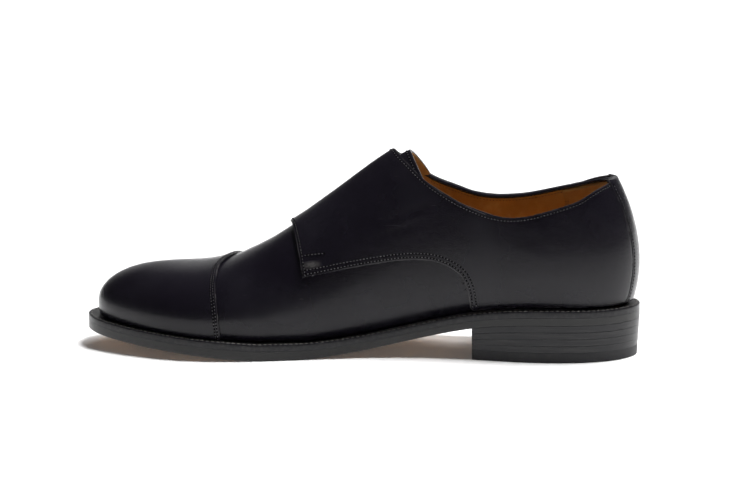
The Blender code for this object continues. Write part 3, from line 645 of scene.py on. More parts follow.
@dataclass(frozen=True)
class Thread:
    """Waxed thread: twisted strands across each stitch."""

    name: str = "black_thread"
    # These greys are lighter than black thread: painted glints where the strands catch light
    body: Colour = (0.042, 0.040, 0.044)
    light: Colour = (0.150, 0.146, 0.150)
    gloss: float = 0.34

    def make(self) -> bpy.types.Material:
        """Build the material."""
        r = Recipe(self.name)
        strands = r.noise(2600, 1, 0.5, (1.0, 0.4, 1.6))
        colour = r.mix(r.step(strands, 0.4, 0.7), self.body, self.light)
        roughness = self.gloss + (strands - 0.5) * 0.2
        r.set(Base_Color=colour, Roughness=roughness, Specular_IOR_Level=0.35)
        r.rough(strands, 0.00008)
        return r.material


@dataclass(frozen=True)
class NeedleHoleShade:
    """Painted shade for a needle's hole: a matt spot so dark that it gives back hardly any light."""

    name: str = "needle_hole_shade"
    body: Colour = (0.0010, 0.0009, 0.0012)
    lint: Colour = (0.0045, 0.0042, 0.0046)

    def make(self) -> bpy.types.Material:
        """Build the material."""
        r = Recipe(self.name)
        colour = r.mix(r.step(r.noise(3000, 2), 0.5, 0.8), self.body, self.lint)
        r.set(Base_Color=colour, Roughness=0.95, Specular_IOR_Level=0.03)
        return r.material


@dataclass(frozen=True)
class Nickel:
    """Polished nickel plate: bright, with hairlines and dulled recesses."""

    name: str = "nickel"
    body: Colour = (0.66, 0.645, 0.61)
    dull: Colour = (0.40, 0.39, 0.37)
    gloss: float = 0.17

    def make(self) -> bpy.types.Material:
        """Build the material."""
        r = Recipe(self.name)
        hairs = r.noise(700, 3, 0.6, (1.0, 5.0, 2.0))
        broad = r.noise(160, 3)
        colour = r.mix(r.step(broad, 0.4, 0.75) * 0.5, self.body, self.dull)
        roughness = self.gloss + (hairs - 0.4) * 0.14 + (broad - 0.5) * 0.1
        r.set(Base_Color=colour, Metallic=1.0, Roughness=roughness)
        r.rough(hairs * 0.6 + broad * 0.4, 0.00002)
        return r.material


@dataclass(frozen=True)
class FloorFinish:
    """The studio's white floor."""

    name: str = "studio_floor"
    body: Colour = (0.90, 0.90, 0.90)
    cloud: Colour = (0.93, 0.93, 0.93)
    near_glow: Colour = (0.05, 0.05, 0.05)
    far_glow: Colour = (0.85, 0.85, 0.85)
    fade: tuple[float, float] = (0.6, 1.4)

    def make(self) -> bpy.types.Material:
        """Build the material: its glow grows away from the shoe, so that every side is white."""
        r = Recipe(self.name)
        colour = r.mix(r.noise(3, 2), self.body, self.cloud)
        away = r.node("ShaderNodeVectorMath", {"operation": "LENGTH"}, {0: r.place})
        share = r.step(away.outputs["Value"], *self.fade)
        glow = r.mix(share, self.near_glow, self.far_glow)
        r.set(Base_Color=colour, Roughness=0.7, Specular_IOR_Level=0.1,
              Emission_Color=glow, Emission_Strength=1.0)
        return r.material


class Finishes:
    """The shoe's materials, each built once."""

    def __init__(self) -> None:
        """Build them all."""
        self.calf = Calf().make()
        self.cap = Calf("black_calf_cap", gloss=0.165, seam_rows=(1.3, 2.6)).make()
        # The flap's calf carries a painted highlight at its front corner
        self.flap = Calf("black_calf_flap", painted_highlight_patch=True).make()
        self.lining = LiningLeather().make()
        self.sock = LiningLeather("tan_sock", gloss=0.46).make()
        self.welt = EdgeInk("black_welt", layers=500, drawn_out=(1.0, 1.0, 1.0)).make()
        self.stack = EdgeInk("black_heel_stack", joints=True).make()
        self.sole = SoleFinish().make()
        self.rubber = Rubber().make()
        self.thread = Thread().make()
        self.hole = NeedleHoleShade().make()
        # The welt's black thread is drawn in mid greys, as painted glints along its stitches
        self.welt_thread = Thread("welt_thread", (0.12, 0.115, 0.11), (0.42, 0.41, 0.39)).make()
        self.lining_thread = Thread(
            "lining_thread", (0.16, 0.075, 0.025), (0.30, 0.16, 0.06)).make()
        self.nickel = Nickel().make()
        self.floor = FloorFinish().make()


# ---------------------------------------------------------------- bench tools


def lay_grid(bm: bmesh.types.BMesh, across: int, along: int, place: Place) -> None:
    """Make a grid and lay it where place says.

    Args:
        bm: the mesh to add to.
        across: how many faces along u.
        along: how many faces along v.
        place: gives points for shares u and v, each from 0 to 1.
    """
    made = bmesh.ops.create_grid(bm, x_segments=across, y_segments=along, size=0.5)["verts"]
    shares = np.array([vert.co[:2] for vert in made]) + 0.5
    for vert, point in zip(made, place(shares[:, 0], shares[:, 1])):
        vert.co = point


def lay_sweep(bm: bmesh.types.BMesh, path: Array, normals: Array, section: Array,
              closed: bool) -> None:
    """Draw a closed section along a path.

    Args:
        bm: the mesh to add to.
        path: the path's points.
        normals: the section's first axis at each point.
        section: points (n, 2) along the normal and across it, or (m, n, 2) for each point.
        closed: whether the path is a ring.
    """
    ahead = np.roll(path, -1, 0) - np.roll(path, 1, 0) if closed else np.gradient(path, axis=0)
    beside = unit(np.cross(unit(ahead), normals))
    normals = unit(np.cross(beside, unit(ahead)))
    section = np.broadcast_to(section, (len(path), *section.shape[-2:]))
    around, steps = section.shape[1], len(path) if closed else len(path) - 1

    def place(u: Array, v: Array) -> Array:
        """A point of the section on the path."""
        i = np.rint(u * around).astype(int) % around
        j = np.rint(v * steps).astype(int) % len(path)
        return path[j] + normals[j] * section[j, i, :1] + beside[j] * section[j, i, 1:]

    lay_grid(bm, around, steps, place)


def close(bm: bmesh.types.BMesh, fill: bool = False) -> None:
    """Merge the seams of a mesh, fill its ends if asked, and turn its faces outwards."""
    bmesh.ops.remove_doubles(bm, verts=bm.verts, dist=MERGE)
    bmesh.ops.dissolve_degenerate(bm, dist=MERGE, edges=bm.edges)
    if fill:
        bmesh.ops.holes_fill(bm, edges=[edge for edge in bm.edges if edge.is_boundary], sides=0)
    bmesh.ops.recalc_face_normals(bm, faces=bm.faces)


def sheet(*grids: tuple[int, int, Place]) -> bmesh.types.BMesh:
    """A leather sheet with its faces away from the inside of the last.

    Args:
        grids: faces across, faces along and the place of each grid that it joins.

    Returns:
        The mesh.
    """
    bm = bmesh.new()
    for grid in grids:
        lay_grid(bm, *grid)
    close(bm)
    bm.normal_update()
    outward = 0.0
    for panel in bm.faces:
        middle = panel.calc_center_median()
        core = Vector((max(-CORE_REACH, min(CORE_REACH, middle.x)), -LAST.shift,
                       min(CORE_HEIGHT, middle.z)))
        outward += panel.normal.dot(middle - core)
    if outward < 0:
        bmesh.ops.reverse_faces(bm, faces=bm.faces)
    return bm


def soften(bm: bmesh.types.BMesh, size: float, segments: int = 2,
           chosen: Callable[[Vector], bool] | None = None) -> None:
    """Round a solid's sharp edges, or those of them whose middles are chosen."""
    bm.normal_update()
    sharp = [edge for edge in bm.edges
             if len(edge.link_faces) == 2 and edge.calc_face_angle(0.0) > SHARP
             and (chosen is None or chosen((edge.verts[0].co + edge.verts[1].co) / 2))]
    bmesh.ops.bevel(bm, geom=sharp, offset=size, offset_type="OFFSET", segments=segments,
                    profile=0.5, affect="EDGES", clamp_overlap=True, material=-1)


def lay_balls(bm: bmesh.types.BMesh, places: Array, index: int = 0, batch: int = 48) -> None:
    """Add a small ball at each place, in batches, which is quicker than one by one.

    Args:
        bm: the mesh to add to.
        places: matrices (n, 3, 4) that take a unit ball to each place.
        index: the material's index.
        batch: how many balls are made together.
    """
    for first in range(0, len(places), batch):
        part = bmesh.new()
        for place in places[first:first + batch].tolist():
            bmesh.ops.create_uvsphere(part, u_segments=6, v_segments=4, radius=1.0,
                                      matrix=Matrix([*place, (0, 0, 0, 1)]))
        for face in part.faces:
            face.material_index = index
        mesh = bpy.data.meshes.new("batch")
        part.to_mesh(mesh)
        part.free()
        bm.from_mesh(mesh)
        bpy.data.meshes.remove(mesh)


def away_from(points: Array, targets: Array) -> Array:
    """Distance in millimetres of each point from the nearest target."""
    if not len(targets):
        return np.full(len(points), FAR)
    tree = KDTree(len(targets))
    for i, target in enumerate(targets):
        tree.insert(target, i)
    tree.balance()
    return np.array([tree.find(point)[2] for point in points]) / MM


@dataclass
class Piece:
    """A finished piece: what it is made of and what it stands for."""

    name: str
    material: bpy.types.Material
    slot: str
    replaces: tuple[str, ...] = ()
    second: bpy.types.Material | None = None
    tags: dict[str, Array] = field(default_factory=dict)

    def make(self, bm: bmesh.types.BMesh, wall: float = 0.0, inward: bool = False,
             rounding: float = 0.0) -> bpy.types.Object:
        """Turn a mesh into the finished piece.

        Args:
            bm: the mesh, freed here.
            wall: thickness of a sheet, 0 for a solid.
            inward: whether the wall grows towards the foot.
            rounding: size of the rounding at a sheet's edges.

        Returns:
            The object.
        """
        mesh = bpy.data.meshes.new(self.name)
        bm.to_mesh(mesh)
        bm.free()
        mesh.shade_smooth()
        mesh.set_sharp_from_angle(angle=SHADED_SHARP)
        points = np.array([vert.co for vert in mesh.vertices])
        for name, targets in self.tags.items():
            tag = mesh.attributes.new(name, "FLOAT", "POINT")
            tag.data.foreach_set("value", away_from(points, targets))
        item = bpy.data.objects.new(self.name, mesh)
        bpy.context.scene.collection.objects.link(item)
        mesh.materials.append(self.material)
        if self.second:
            mesh.materials.append(self.second)
        if wall:
            solid = item.modifiers.new("wall", "SOLIDIFY")
            solid.thickness, solid.offset = wall, -1.0 if inward else 1.0
            solid.material_offset = 1 if self.second else 0
        if rounding:
            bevel = item.modifiers.new("rounding", "BEVEL")
            bevel.width, bevel.segments = rounding, 2
            bevel.limit_method, bevel.angle_limit = "ANGLE", ROUNDED
        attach(item, "root")
        if self.replaces:
            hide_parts(*self.replaces)
        LOG.info("%s: %d faces", self.name, len(mesh.polygons))
        return item


NO_LINE = np.zeros((0, 3))
PLAIN = {"seam": NO_LINE, "hem": NO_LINE}


@dataclass(frozen=True)
class Stitching:
    """A kind of stitching: pitch, length that shows and thread, in metres."""

    pitch: float = 0.0018
    shows: float = 0.00105
    thread: float = 0.00050
    sink: float = 0.00002
    # Size of the dark spot of painted shade at each needle hole
    hole: float = 0.00054

    def places(self, points: Array, normals: Array) -> tuple[Array, Array]:
        """Where the stitches and needle holes of one line go.

        Args:
            points: the line's points.
            normals: the leather's normals at them.

        Returns:
            Matrices (n, 3, 4) that take a unit ball to each stitch, and to the dark spot of painted
            shade at each hole.
        """
        lengths = np.concatenate([[0], np.cumsum(np.linalg.norm(np.diff(points, axis=0), axis=1))])
        count = max(int(lengths[-1] / self.pitch), 1)
        at = (np.arange(count) + 0.5) * lengths[-1] / count

        def along_line(values: Array, step: float = 0.0) -> Array:
            """Values of the line at each stitch, moved on by a step."""
            return np.stack([np.interp(at + step, lengths, values[:, k]) for k in range(3)], -1)

        start, middle, end = (along_line(points, step)
                              for step in (-self.shows / 2, 0.0, self.shows / 2))
        up = unit(along_line(normals))
        along = unit(end - start)
        beside = unit(np.cross(up, along))
        up = np.cross(along, beside)
        half, hole = self.thread / 2, self.hole
        laid = middle - up * self.sink
        stitches = np.stack([beside * half, up * half, along * self.shows / 2, laid], -1)
        spots = end + along * (self.pitch - self.shows) / 2
        return stitches, np.stack([beside * hole, up * hole * 0.5, along * hole, spots], -1)

    def sew(self, piece: Piece, lines: Sequence[Line]) -> bpy.types.Object:
        """Lay stitches along lines of points and normals, each with a dark spot of painted shade for
        the needle's hole after it.
        """
        laid = [self.places(*line) for line in lines]
        bm = bmesh.new()
        lay_balls(bm, np.concatenate([stitches for stitches, _ in laid]))
        if piece.second:
            lay_balls(bm, np.concatenate([holes for _, holes in laid]), 1)
        return piece.make(bm)


def sew_black(name: str, finishes: Finishes, lines: Sequence[Line]) -> None:
    """Sew the upper's black rows, with dark spots of painted shade at their needle holes."""
    Stitching().sew(Piece(name, finishes.thread, "upper", second=finishes.hole), lines)


@dataclass
class Panel:
    """A pattern piece: a surface that gives angle, wrap and lift at shares u and v."""

    surface: Callable[[Array, Array], tuple[Array, Array, Array]]

    def place(self, u: Array, v: Array) -> Array:
        """Points of the panel's inner face."""
        return LAST.on(*self.surface(u, v))

    @staticmethod
    def _shares(border: Border, along: Array, depth: Array) -> tuple[Array, Array]:
        """The shares u and v at a depth inside a border."""
        depth = depth if border in (Border.FOOT, Border.BACK) else 1 - depth
        return (along, depth) if border in (Border.FOOT, Border.TOP) else (depth, along)

    def inset(self, border: Border, distance: float, wall: float, start: float = 0.0,
              end: float = 1.0, steps: int = 160) -> Line:
        """A line at a distance inside a border, on the outer face.

        Args:
            border: which border.
            distance: how far inside it, in metres.
            wall: the panel's thickness.
            start: share of the border where the line starts.
            end: share where it ends.
            steps: how many points it has.

        Returns:
            The line's points and normals.
        """
        along = np.linspace(start, end, steps)
        angle, wrap, lift = self.surface(*self._shares(border, along, np.zeros(steps)))
        edge = LAST.on(angle, wrap, lift)
        beside = unit(np.cross(LAST.normal(angle, wrap), unit(np.gradient(edge, axis=0))))
        inside = self.place(*self._shares(border, along, np.full(steps, 0.06))) - edge
        target = edge + beside * np.sign((inside * beside).sum()) * distance
        near = 1e-4
        for _ in range(4):
            miss = target - LAST.on(angle, wrap, lift)
            turn, climb = (
                (LAST.on(angle + a, wrap + w, lift) - LAST.on(angle - a, wrap - w, lift)) / (2 * near)
                for a, w in ((near, 0.0), (0.0, near)))
            tt, tc, cc = ((a * b).sum(-1) for a, b in ((turn, turn), (turn, climb), (climb, climb)))
            mt, mc = (miss * turn).sum(-1), (miss * climb).sum(-1)
            whole = tt * cc - tc * tc
            angle, wrap = angle + (mt * cc - mc * tc) / whole, wrap + (mc * tt - mt * tc) / whole
        return LAST.on(angle, wrap, lift + wall), LAST.normal(angle, wrap)

    def border(self, border: Border, start: float = 0.0, end: float = 1.0) -> Array:
        """Close-set points of a border, which distances are taken from."""
        along = np.linspace(start, end, 700)
        return self.place(*self._shares(border, along, np.zeros(700)))


# ---------------------------------------------------------------- pattern tables

COLLAR = {
    Side.MEDIAL: ((0.00, 0.590), (0.009, 0.578), (0.046, 0.554), (0.093, 0.516), (0.135, 0.489),
                  (0.176, 0.464), (0.212, 0.444), (0.243, 0.439), (0.292, 0.469), (0.319, 0.499),
                  (0.342, 0.539), (0.368, 0.594), (0.388, 0.650), (0.42, 0.76), (0.46, 0.89),
                  (0.50, 1.03)),
    Side.LATERAL: ((0.00, 0.590), (0.009, 0.585), (0.046, 0.566), (0.093, 0.541), (0.141, 0.519),
                   (0.176, 0.500), (0.212, 0.481), (0.248, 0.469), (0.294, 0.479), (0.322, 0.506),
                   (0.345, 0.538), (0.366, 0.573), (0.385, 0.62), (0.42, 0.74), (0.46, 0.88),
                   (0.50, 1.03)),
}
FOOT_RISE = 0.02
MEDIAL_QUARTER = (
    # station, wrap, extra lift (mm) at the lower edge; the same at the upper edge
    (0.024, FOOT_RISE, 0.0, 0.0105, 0.578, 0.0), (0.060, FOOT_RISE, 0.0, 0.046, 0.554, 0.0),
    (0.110, FOOT_RISE, 0.0, 0.093, 0.516, 0.0), (0.170, FOOT_RISE, 0.0, 0.155, 0.477, 0.0),
    (0.230, FOOT_RISE, 0.0, 0.212, 0.444, 0.0), (0.280, FOOT_RISE, 0.0, 0.262, 0.444, 0.0),
    (0.298, 0.035, 0.0, 0.300, 0.475, 0.0), (0.301, 0.110, 0.0, 0.324, 0.506, 0.0),
    (0.305, 0.178, 0.0, 0.348, 0.549, 0.0), (0.312, 0.228, 0.0, 0.371, 0.602, 0.0),
    (0.329, 0.264, 0.0, 0.392, 0.670, 0.1), (0.357, 0.299, 0.0, 0.413, 0.765, 0.2),
    (0.392, 0.326, 0.0, 0.430, 0.880, 0.4), (0.425, 0.346, 0.0, 0.4405, 1.010, 0.6),
    (0.458, 0.363, 0.0, 0.463, 1.075, 0.6), (0.500, 0.386, 0.0, 0.498, 1.088, 0.6),
    (0.532, 0.405, 0.1, 0.532, 1.090, 0.6), (0.564, 0.424, 0.2, 0.576, 1.090, 0.8),
    (0.593, 0.443, 0.3, 0.628, 1.090, 1.1),
)
STRAP_ROOTS = (13, 16, 18)
FOOT_ROWS_START = 0.336
TIP_START, TIP_NARROW = 0.90, 0.93
LATERAL_QUARTER = (
    (0.024, FOOT_RISE, 0.0, 0.0105, 0.585, 0.0), (0.060, FOOT_RISE, 0.0, 0.046, 0.566, 0.0),
    (0.110, FOOT_RISE, 0.0, 0.093, 0.541, 0.0), (0.170, FOOT_RISE, 0.0, 0.155, 0.511, 0.0),
    (0.230, FOOT_RISE, 0.0, 0.212, 0.481, 0.0), (0.280, FOOT_RISE, 0.0, 0.262, 0.469, 0.0),
    (0.306, 0.035, 0.0, 0.300, 0.483, 0.0), (0.309, 0.110, 0.0, 0.322, 0.506, 0.0),
    (0.313, 0.178, 0.0, 0.345, 0.538, 0.0), (0.320, 0.228, 0.0, 0.366, 0.573, 0.0),
    (0.337, 0.264, 0.0, 0.385, 0.620, 0.0), (0.365, 0.299, 0.0, 0.400, 0.680, 0.0),
    (0.398, 0.326, 0.0, 0.413, 0.750, 0.0), (0.430, 0.346, 0.0, 0.427, 0.825, 0.0),
    (0.463, 0.363, 0.0, 0.455, 0.790, 0.0), (0.505, 0.386, 0.0, 0.487, 0.730, 0.0),
    (0.540, 0.405, 0.0, 0.522, 0.640, 0.0), (0.567, 0.423, 0.0, 0.552, 0.545, 0.0),
    (0.582, 0.434, 0.0, 0.578, 0.460, 0.0),
)
UPPER_STRAP = (
    # station, wrap of the rear edge; of the front edge; what lies below; extras (mm)
    (0.434, 1.165, 0.500, 1.215, "quarter", 0.0, 0.1),
    (0.416, 1.280, 0.476, 1.345, "quarter", 0.1, 0.3),
    (0.399, 1.395, 0.450, 1.465, "quarter", 0.2, 0.3),
    (0.380, 1.478, 0.427, 1.555, "bar", 0.2, 0.0),
    (0.364, 1.525, 0.406, 1.605, "tab", 0.6, 0.0), (0.350, 1.567, 0.384, 1.637, "tab", 0.2, 0.0),
    (0.345, 1.602, 0.361, 1.633, "tab", 0.0, 0.0),
)
LOWER_STRAP = (
    (0.522, 1.230, 0.602, 1.240, "vamp", 1.2, 0.2),
    (0.506, 1.355, 0.568, 1.385, "quarter", 0.1, 0.3),
    (0.486, 1.455, 0.541, 1.500, "quarter", 0.2, 0.3),
    (0.463, 1.540, 0.512, 1.590, "bar", 0.2, 0.0),
    (0.444, 1.597, 0.487, 1.648, "tab", 0.6, 0.0), (0.425, 1.648, 0.459, 1.690, "tab", 0.2, 0.0),
    (0.417, 1.684, 0.432, 1.702, "tab", 0.0, 0.0),
)
CAP_SEAM = (
    # rise, medial station, lateral station
    (FOOT_RISE, 0.736, 0.708), (0.113, 0.737, 0.710), (0.278, 0.740, 0.714), (0.431, 0.745, 0.718),
    (0.564, 0.749, 0.722), (0.684, 0.7505, 0.726), (0.850, 0.750, 0.733), (1.000, 0.742, 0.742),
)
# Sections round the collar's edge, in millimetres: along the normal, and up from the edge
BINDING_SECTION = ((0.02, -0.9), (0.06, -0.1), (-0.25, 0.26), (-0.9, 0.38), (-1.55, 0.25),
                   (-1.98, -0.15), (-2.12, -0.7), (-2.14, -1.2), (-1.98, -1.42), (-1.85, -1.3),
                   (-1.80, -0.9), (-0.9, -0.9))
TAB_SECTION = ((1.95, -1.5), (1.8, -0.5), (1.2, 0.2), (0.1, 0.55), (-1.2, 0.50), (-2.3, 0.0),
               (-2.75, -0.8), (-2.8, -3.2), (-2.4, -3.3), (-2.3, -1.2))
TONGUE = (
    # station, wrap of the sewn front; of the free top edge
    (0.545, 0.760, 0.386, 0.645), (0.580, 0.830, 0.398, 0.735), (0.605, 0.910, 0.410, 0.860),
    (0.615, 1.000, 0.416, 1.000), (0.605, 1.090, 0.412, 1.120), (0.580, 1.170, 0.400, 1.240),
    (0.545, 1.240, 0.382, 1.365),
)


@dataclass(frozen=True)
class Leathers:
    """Thicknesses of the leather and the room between its layers."""

    outer: float = 0.0009
    lining: float = 0.0008
    overlay: float = 0.0014
    strap: float = 0.0016
    strip: float = 0.0016
    tongue: float = 0.0018
    tab: float = 0.0010
    layer_gap: float = 0.0002
    rounding: float = 0.00042
    strip_half: float = 0.0112

    def over(self, below: str) -> float:
        """Lift of a strap's inner face, by what lies below it."""
        quarter = self.layer_gap * 2 + self.overlay
        return {"vamp": self.layer_gap, "quarter": quarter,
                "tab": quarter + self.tab + self.layer_gap,
                "bar": quarter + Buckle.wire + LAST.gap}[below]


def ribbed(ribs: Sequence[Sequence[float]], side: Side, strip_half: float, gap: float) -> Panel:
    """The surface of a quarter, from its table of ribs to the back strip's edge.

    Args:
        ribs: the table.
        side: the side of the foot that it starts on.
        strip_half: half the back strip's width, 0 for a piece that doesn't meet it.
        gap: lift of the piece's inner face.

    Returns:
        The panel, with shares u along the ribs and v up them.
    """
    table = np.array(ribs, float)
    table[:, 0], table[:, 3] = angle_of(table[:, 0]), angle_of(table[:, 3])
    table[:, 2], table[:, 5] = gap + table[:, 2] * MM, gap + table[:, 5] * MM
    drawn, count = spline(range(len(ribs)), table), len(ribs) - 1
    shares = np.linspace(0, 1, 60)
    back_rise = table[0, 1] * (1 - shares) + table[0, 4] * shares
    back_angle = LAST.solve_angle(side, back_rise, strip_half + 0.0004) if strip_half else None

    def surface(u: Array, v: Array) -> tuple[Array, Array, Array]:
        """The quarter at shares u and v."""
        edges = drawn(u * count)
        angle, wrap, lift = (edges[:, i] * (1 - v) + edges[:, i + 3] * v for i in range(3))
        if back_angle is not None:
            ease = np.maximum(1 - u * count / 2, 0)
            first = table[0, 0] * (1 - v) + table[0, 3] * v
            angle = angle + (np.interp(v, shares, back_angle) - first) * ease
        return angle, side.wrap(wrap), lift

    return Panel(surface)


class Strap:
    """One strap of the flap: its surface from the slit to the tip."""

    def __init__(self, roots: Array, rows: Sequence[Sequence[Any]], leathers: Leathers) -> None:
        """Draw the strap.

        Args:
            roots: angle, wrap and lift of the edge that it grows from.
            rows: its table, from the slit to the tip.
            leathers: thicknesses, which say how high it stands over what is below it.
        """
        share = np.linspace(0, 1, len(roots))[:, None]
        knots = [roots]
        for rear_station, rear_wrap, front_station, front_wrap, below, extra, edge_extra in rows:
            lift = leathers.over(below) + extra * MM
            rear = np.array([float(angle_of(rear_station)), rear_wrap, lift])
            front = np.array([float(angle_of(front_station)), front_wrap, lift])
            line = rear * (1 - share) + front * share
            line[:, 2] += edge_extra * MM * (2 * share[:, 0] - 1) ** 2
            knots.append(line)
        self.columns, self.length = len(roots), len(rows)
        self.along = spline(range(len(knots)), np.array(knots).reshape(len(knots), -1))

    def at(self, row: Any, across: Any) -> tuple[Array, Array, Array]:
        """Angle, wrap and lift at a row, and across from 0 at the rear edge to 1 at the front."""
        row, across = np.broadcast_arrays(np.atleast_1d(row), np.atleast_1d(across))
        lines = self.along(row.astype(float)).reshape(-1, self.columns, 3)
        inside = np.clip(across, 0, 1) * (self.columns - 1)
        low = np.clip(inside.astype(int), 0, self.columns - 2)
        picked, part = np.arange(len(lines)), (inside - low)[:, None]
        spot = lines[picked, low] * (1 - part) + lines[picked, low + 1] * part
        spot = spot + (lines[:, -1] - lines[:, 0]) * (across - np.clip(across, 0, 1))[:, None]
        return spot[:, 0], spot[:, 1], spot[:, 2]

    def surface(self, u: Array, v: Array) -> tuple[Array, Array, Array]:
        """The strap at shares u across it and v down it, with a rounded tip."""
        tip = np.clip((v - TIP_START) / (1 - TIP_START), 0, 1)
        narrow = np.sqrt(np.maximum(1 - (tip * TIP_NARROW) ** 2, 0))
        return self.at(v * self.length, 0.5 + (u - 0.5) * narrow)

    def lift(self, row: float) -> float:
        """Lift of the inner face at the strap's middle."""
        return float(self.at(row, 0.5)[2][0])


# ---------------------------------------------------------------- sub-assemblies


def turned_over(edge: Sequence[Array], section: Array) -> bmesh.types.BMesh:
    """Leather turned over the collar's edge.

    Args:
        edge: its points, normals and the way up at each.
        section: points (n, 2) along the normal and up, or (m, n, 2) for each point.

    Returns:
        The closed mesh.
    """
    point, normal, up = edge
    section = np.broadcast_to(section, (len(point), *section.shape[-2:]))
    across, steps = section.shape[1], len(point) - 1

    def place(u: Array, v: Array) -> Array:
        """A point of the section on the edge."""
        i = np.rint(u * across).astype(int) % across
        j = np.rint(v * steps).astype(int)
        return point[j] + normal[j] * section[j, i, :1] + up[j] * section[j, i, 1:]

    bm = bmesh.new()
    lay_grid(bm, across, steps, place)
    close(bm, fill=True)
    return bm


@dataclass
class Upper:
    """The vamp and quarters' outer leather, its lining, heel grip and collar binding."""

    finishes: Finishes
    leathers: Leathers
    around: int = 210
    up: int = 56
    lining_foot: float = 0.02
    grip_station: float = 0.134
    grip_foot: float = 0.03
    grip_below_collar: float = 0.015
    grip_wall: float = 0.0005
    row_down: float = 0.0027
    collar_end: float = 0.497

    def __post_init__(self) -> None:
        """Draw the collar's two sides."""
        self.collar = {side: column(COLLAR[side], 1) for side in Side}

    def shell(self, piece: Piece, lift: float, wall: float, foot: float = 0.0) -> None:
        """One layer of the whole upper, from a share of its height at the foot."""
        def half(side: Side) -> Place:
            """The layer on one side."""
            def place(u: Array, v: Array) -> Array:
                """A point of it."""
                angle = math.pi * u
                collar = np.minimum(self.collar[side](station_of(angle)), 1)
                return LAST.on(angle, side.wrap((foot + (1 - foot) * v) * collar), lift)

            return place

        grids = [(self.around, self.up, half(side)) for side in Side]
        piece.make(sheet(*grids), wall, inward=True)

    def grip(self) -> None:
        """The lining's heel piece, which laps over the front lining."""
        lift = -(self.leathers.outer + self.leathers.lining + 0.00015)

        def half(side: Side) -> Place:
            """The heel grip on one side."""
            def place(u: Array, v: Array) -> Array:
                """A point of it."""
                angle = float(angle_of(self.grip_station)) * u
                reach = self.collar[side](station_of(angle)) - self.grip_foot - self.grip_below_collar
                return LAST.on(angle, side.wrap(self.grip_foot + v * reach), lift)

            return place

        bm = sheet(*[(50, 40, half(side)) for side in Side])
        Piece("heel_grip", self.finishes.lining, "upper").make(bm, self.grip_wall, inward=True)

    def collar_frame(self, down: float = 0.0, steps: int = 260) -> tuple[Array, Array, Array]:
        """The collar from the medial throat round the heel to the lateral one.

        Args:
            down: how far below the collar's edge the points lie, in metres.
            steps: how many points there are.

        Returns:
            Points, the last's normals there and the way up the last.
        """
        share = np.linspace(0.0, 1.0, steps)
        angle = np.abs(1 - 2 * share) * float(angle_of(self.collar_end))
        medial, lateral = (side.wrap(self.collar[side](station_of(angle))) for side in Side)
        wrap = np.where(share < 0.5, medial, lateral)
        point, normal = LAST.on(angle, wrap), LAST.normal(angle, wrap)
        along = unit(np.gradient(point, axis=0))
        up = unit(np.cross(along, normal))
        up = up * np.sign(up[:, 2:].mean())
        return point - up * down, normal, up

    def binding(self) -> None:
        """The black leather turned over the collar's edge."""
        bm = turned_over(self.collar_frame(), np.array(BINDING_SECTION) * MM)
        Piece("collar_binding", self.finishes.calf, "upper", tags=PLAIN).make(bm)

    def sew(self) -> None:
        """The rows inside the collar, and up the heel grip's edges."""
        point, normal, _ = self.collar_frame(self.row_down)
        inner = point - normal * (self.leathers.outer + self.leathers.lining + 0.00012)
        lines = [(inner[20:-20], -normal[20:-20])]
        for wraps in ((0.10, 0.44), (1.90, 1.535)):
            for back in (0.0035, 0.0085):
                angle = np.full(40, float(angle_of(self.grip_station - back)))
                wrap = np.linspace(*wraps, 40)
                lines.append((LAST.on(angle, wrap, -0.00236), -LAST.normal(angle, wrap)))
        piece = Piece("lining_stitches", self.finishes.lining_thread, "upper")
        Stitching(thread=0.0005).sew(piece, lines)

    def build(self) -> None:
        """Make the upper."""
        f, l = self.finishes, self.leathers
        self.shell(Piece("vamp", f.calf, "upper", ("upper",), tags=PLAIN), 0.0, l.outer)
        lining = Piece("lining", f.lining, "upper", ("upper",))
        self.shell(lining, -l.outer - 0.00005, l.lining, self.lining_foot)
        self.grip()
        self.binding()
        self.sew()


@dataclass
class ToeCap:
    """The straight toe cap, sewn over the vamp with two rows."""

    finishes: Finishes
    leathers: Leathers
    rows: tuple[float, ...] = (0.0013, 0.0026)

    def panel(self, side: Side) -> Panel:
        """The cap on one side: u from its seam to the toe, v up the side."""
        index = 1 if side is Side.MEDIAL else 2

        def surface(u: Array, v: Array) -> tuple[Array, Array, Array]:
            """The cap at shares u and v."""
            rise = FOOT_RISE + (1 - FOOT_RISE) * v
            rear = angle_of(column(CAP_SEAM, index)(rise))
            angle = rear + (math.pi - rear) * u
            return angle, side.wrap(rise), np.full(len(u), self.leathers.layer_gap)

        return Panel(surface)

    def build(self) -> None:
        """Make the cap and its rows."""
        f, l = self.finishes, self.leathers
        panels = [self.panel(side) for side in Side]
        seam = np.concatenate([panel.border(Border.BACK) for panel in panels])
        piece = Piece("toe_cap_leather", f.cap, "upper", ("toe_cap",), tags=PLAIN | {"seam": seam})
        bm = sheet(*[(90, 54, panel.place) for panel in panels])
        piece.make(bm, l.overlay, rounding=l.rounding)
        lines = [panel.inset(Border.BACK, row, l.overlay) for panel in panels for row in self.rows]
        sew_black("toe_cap_stitches", f, lines)


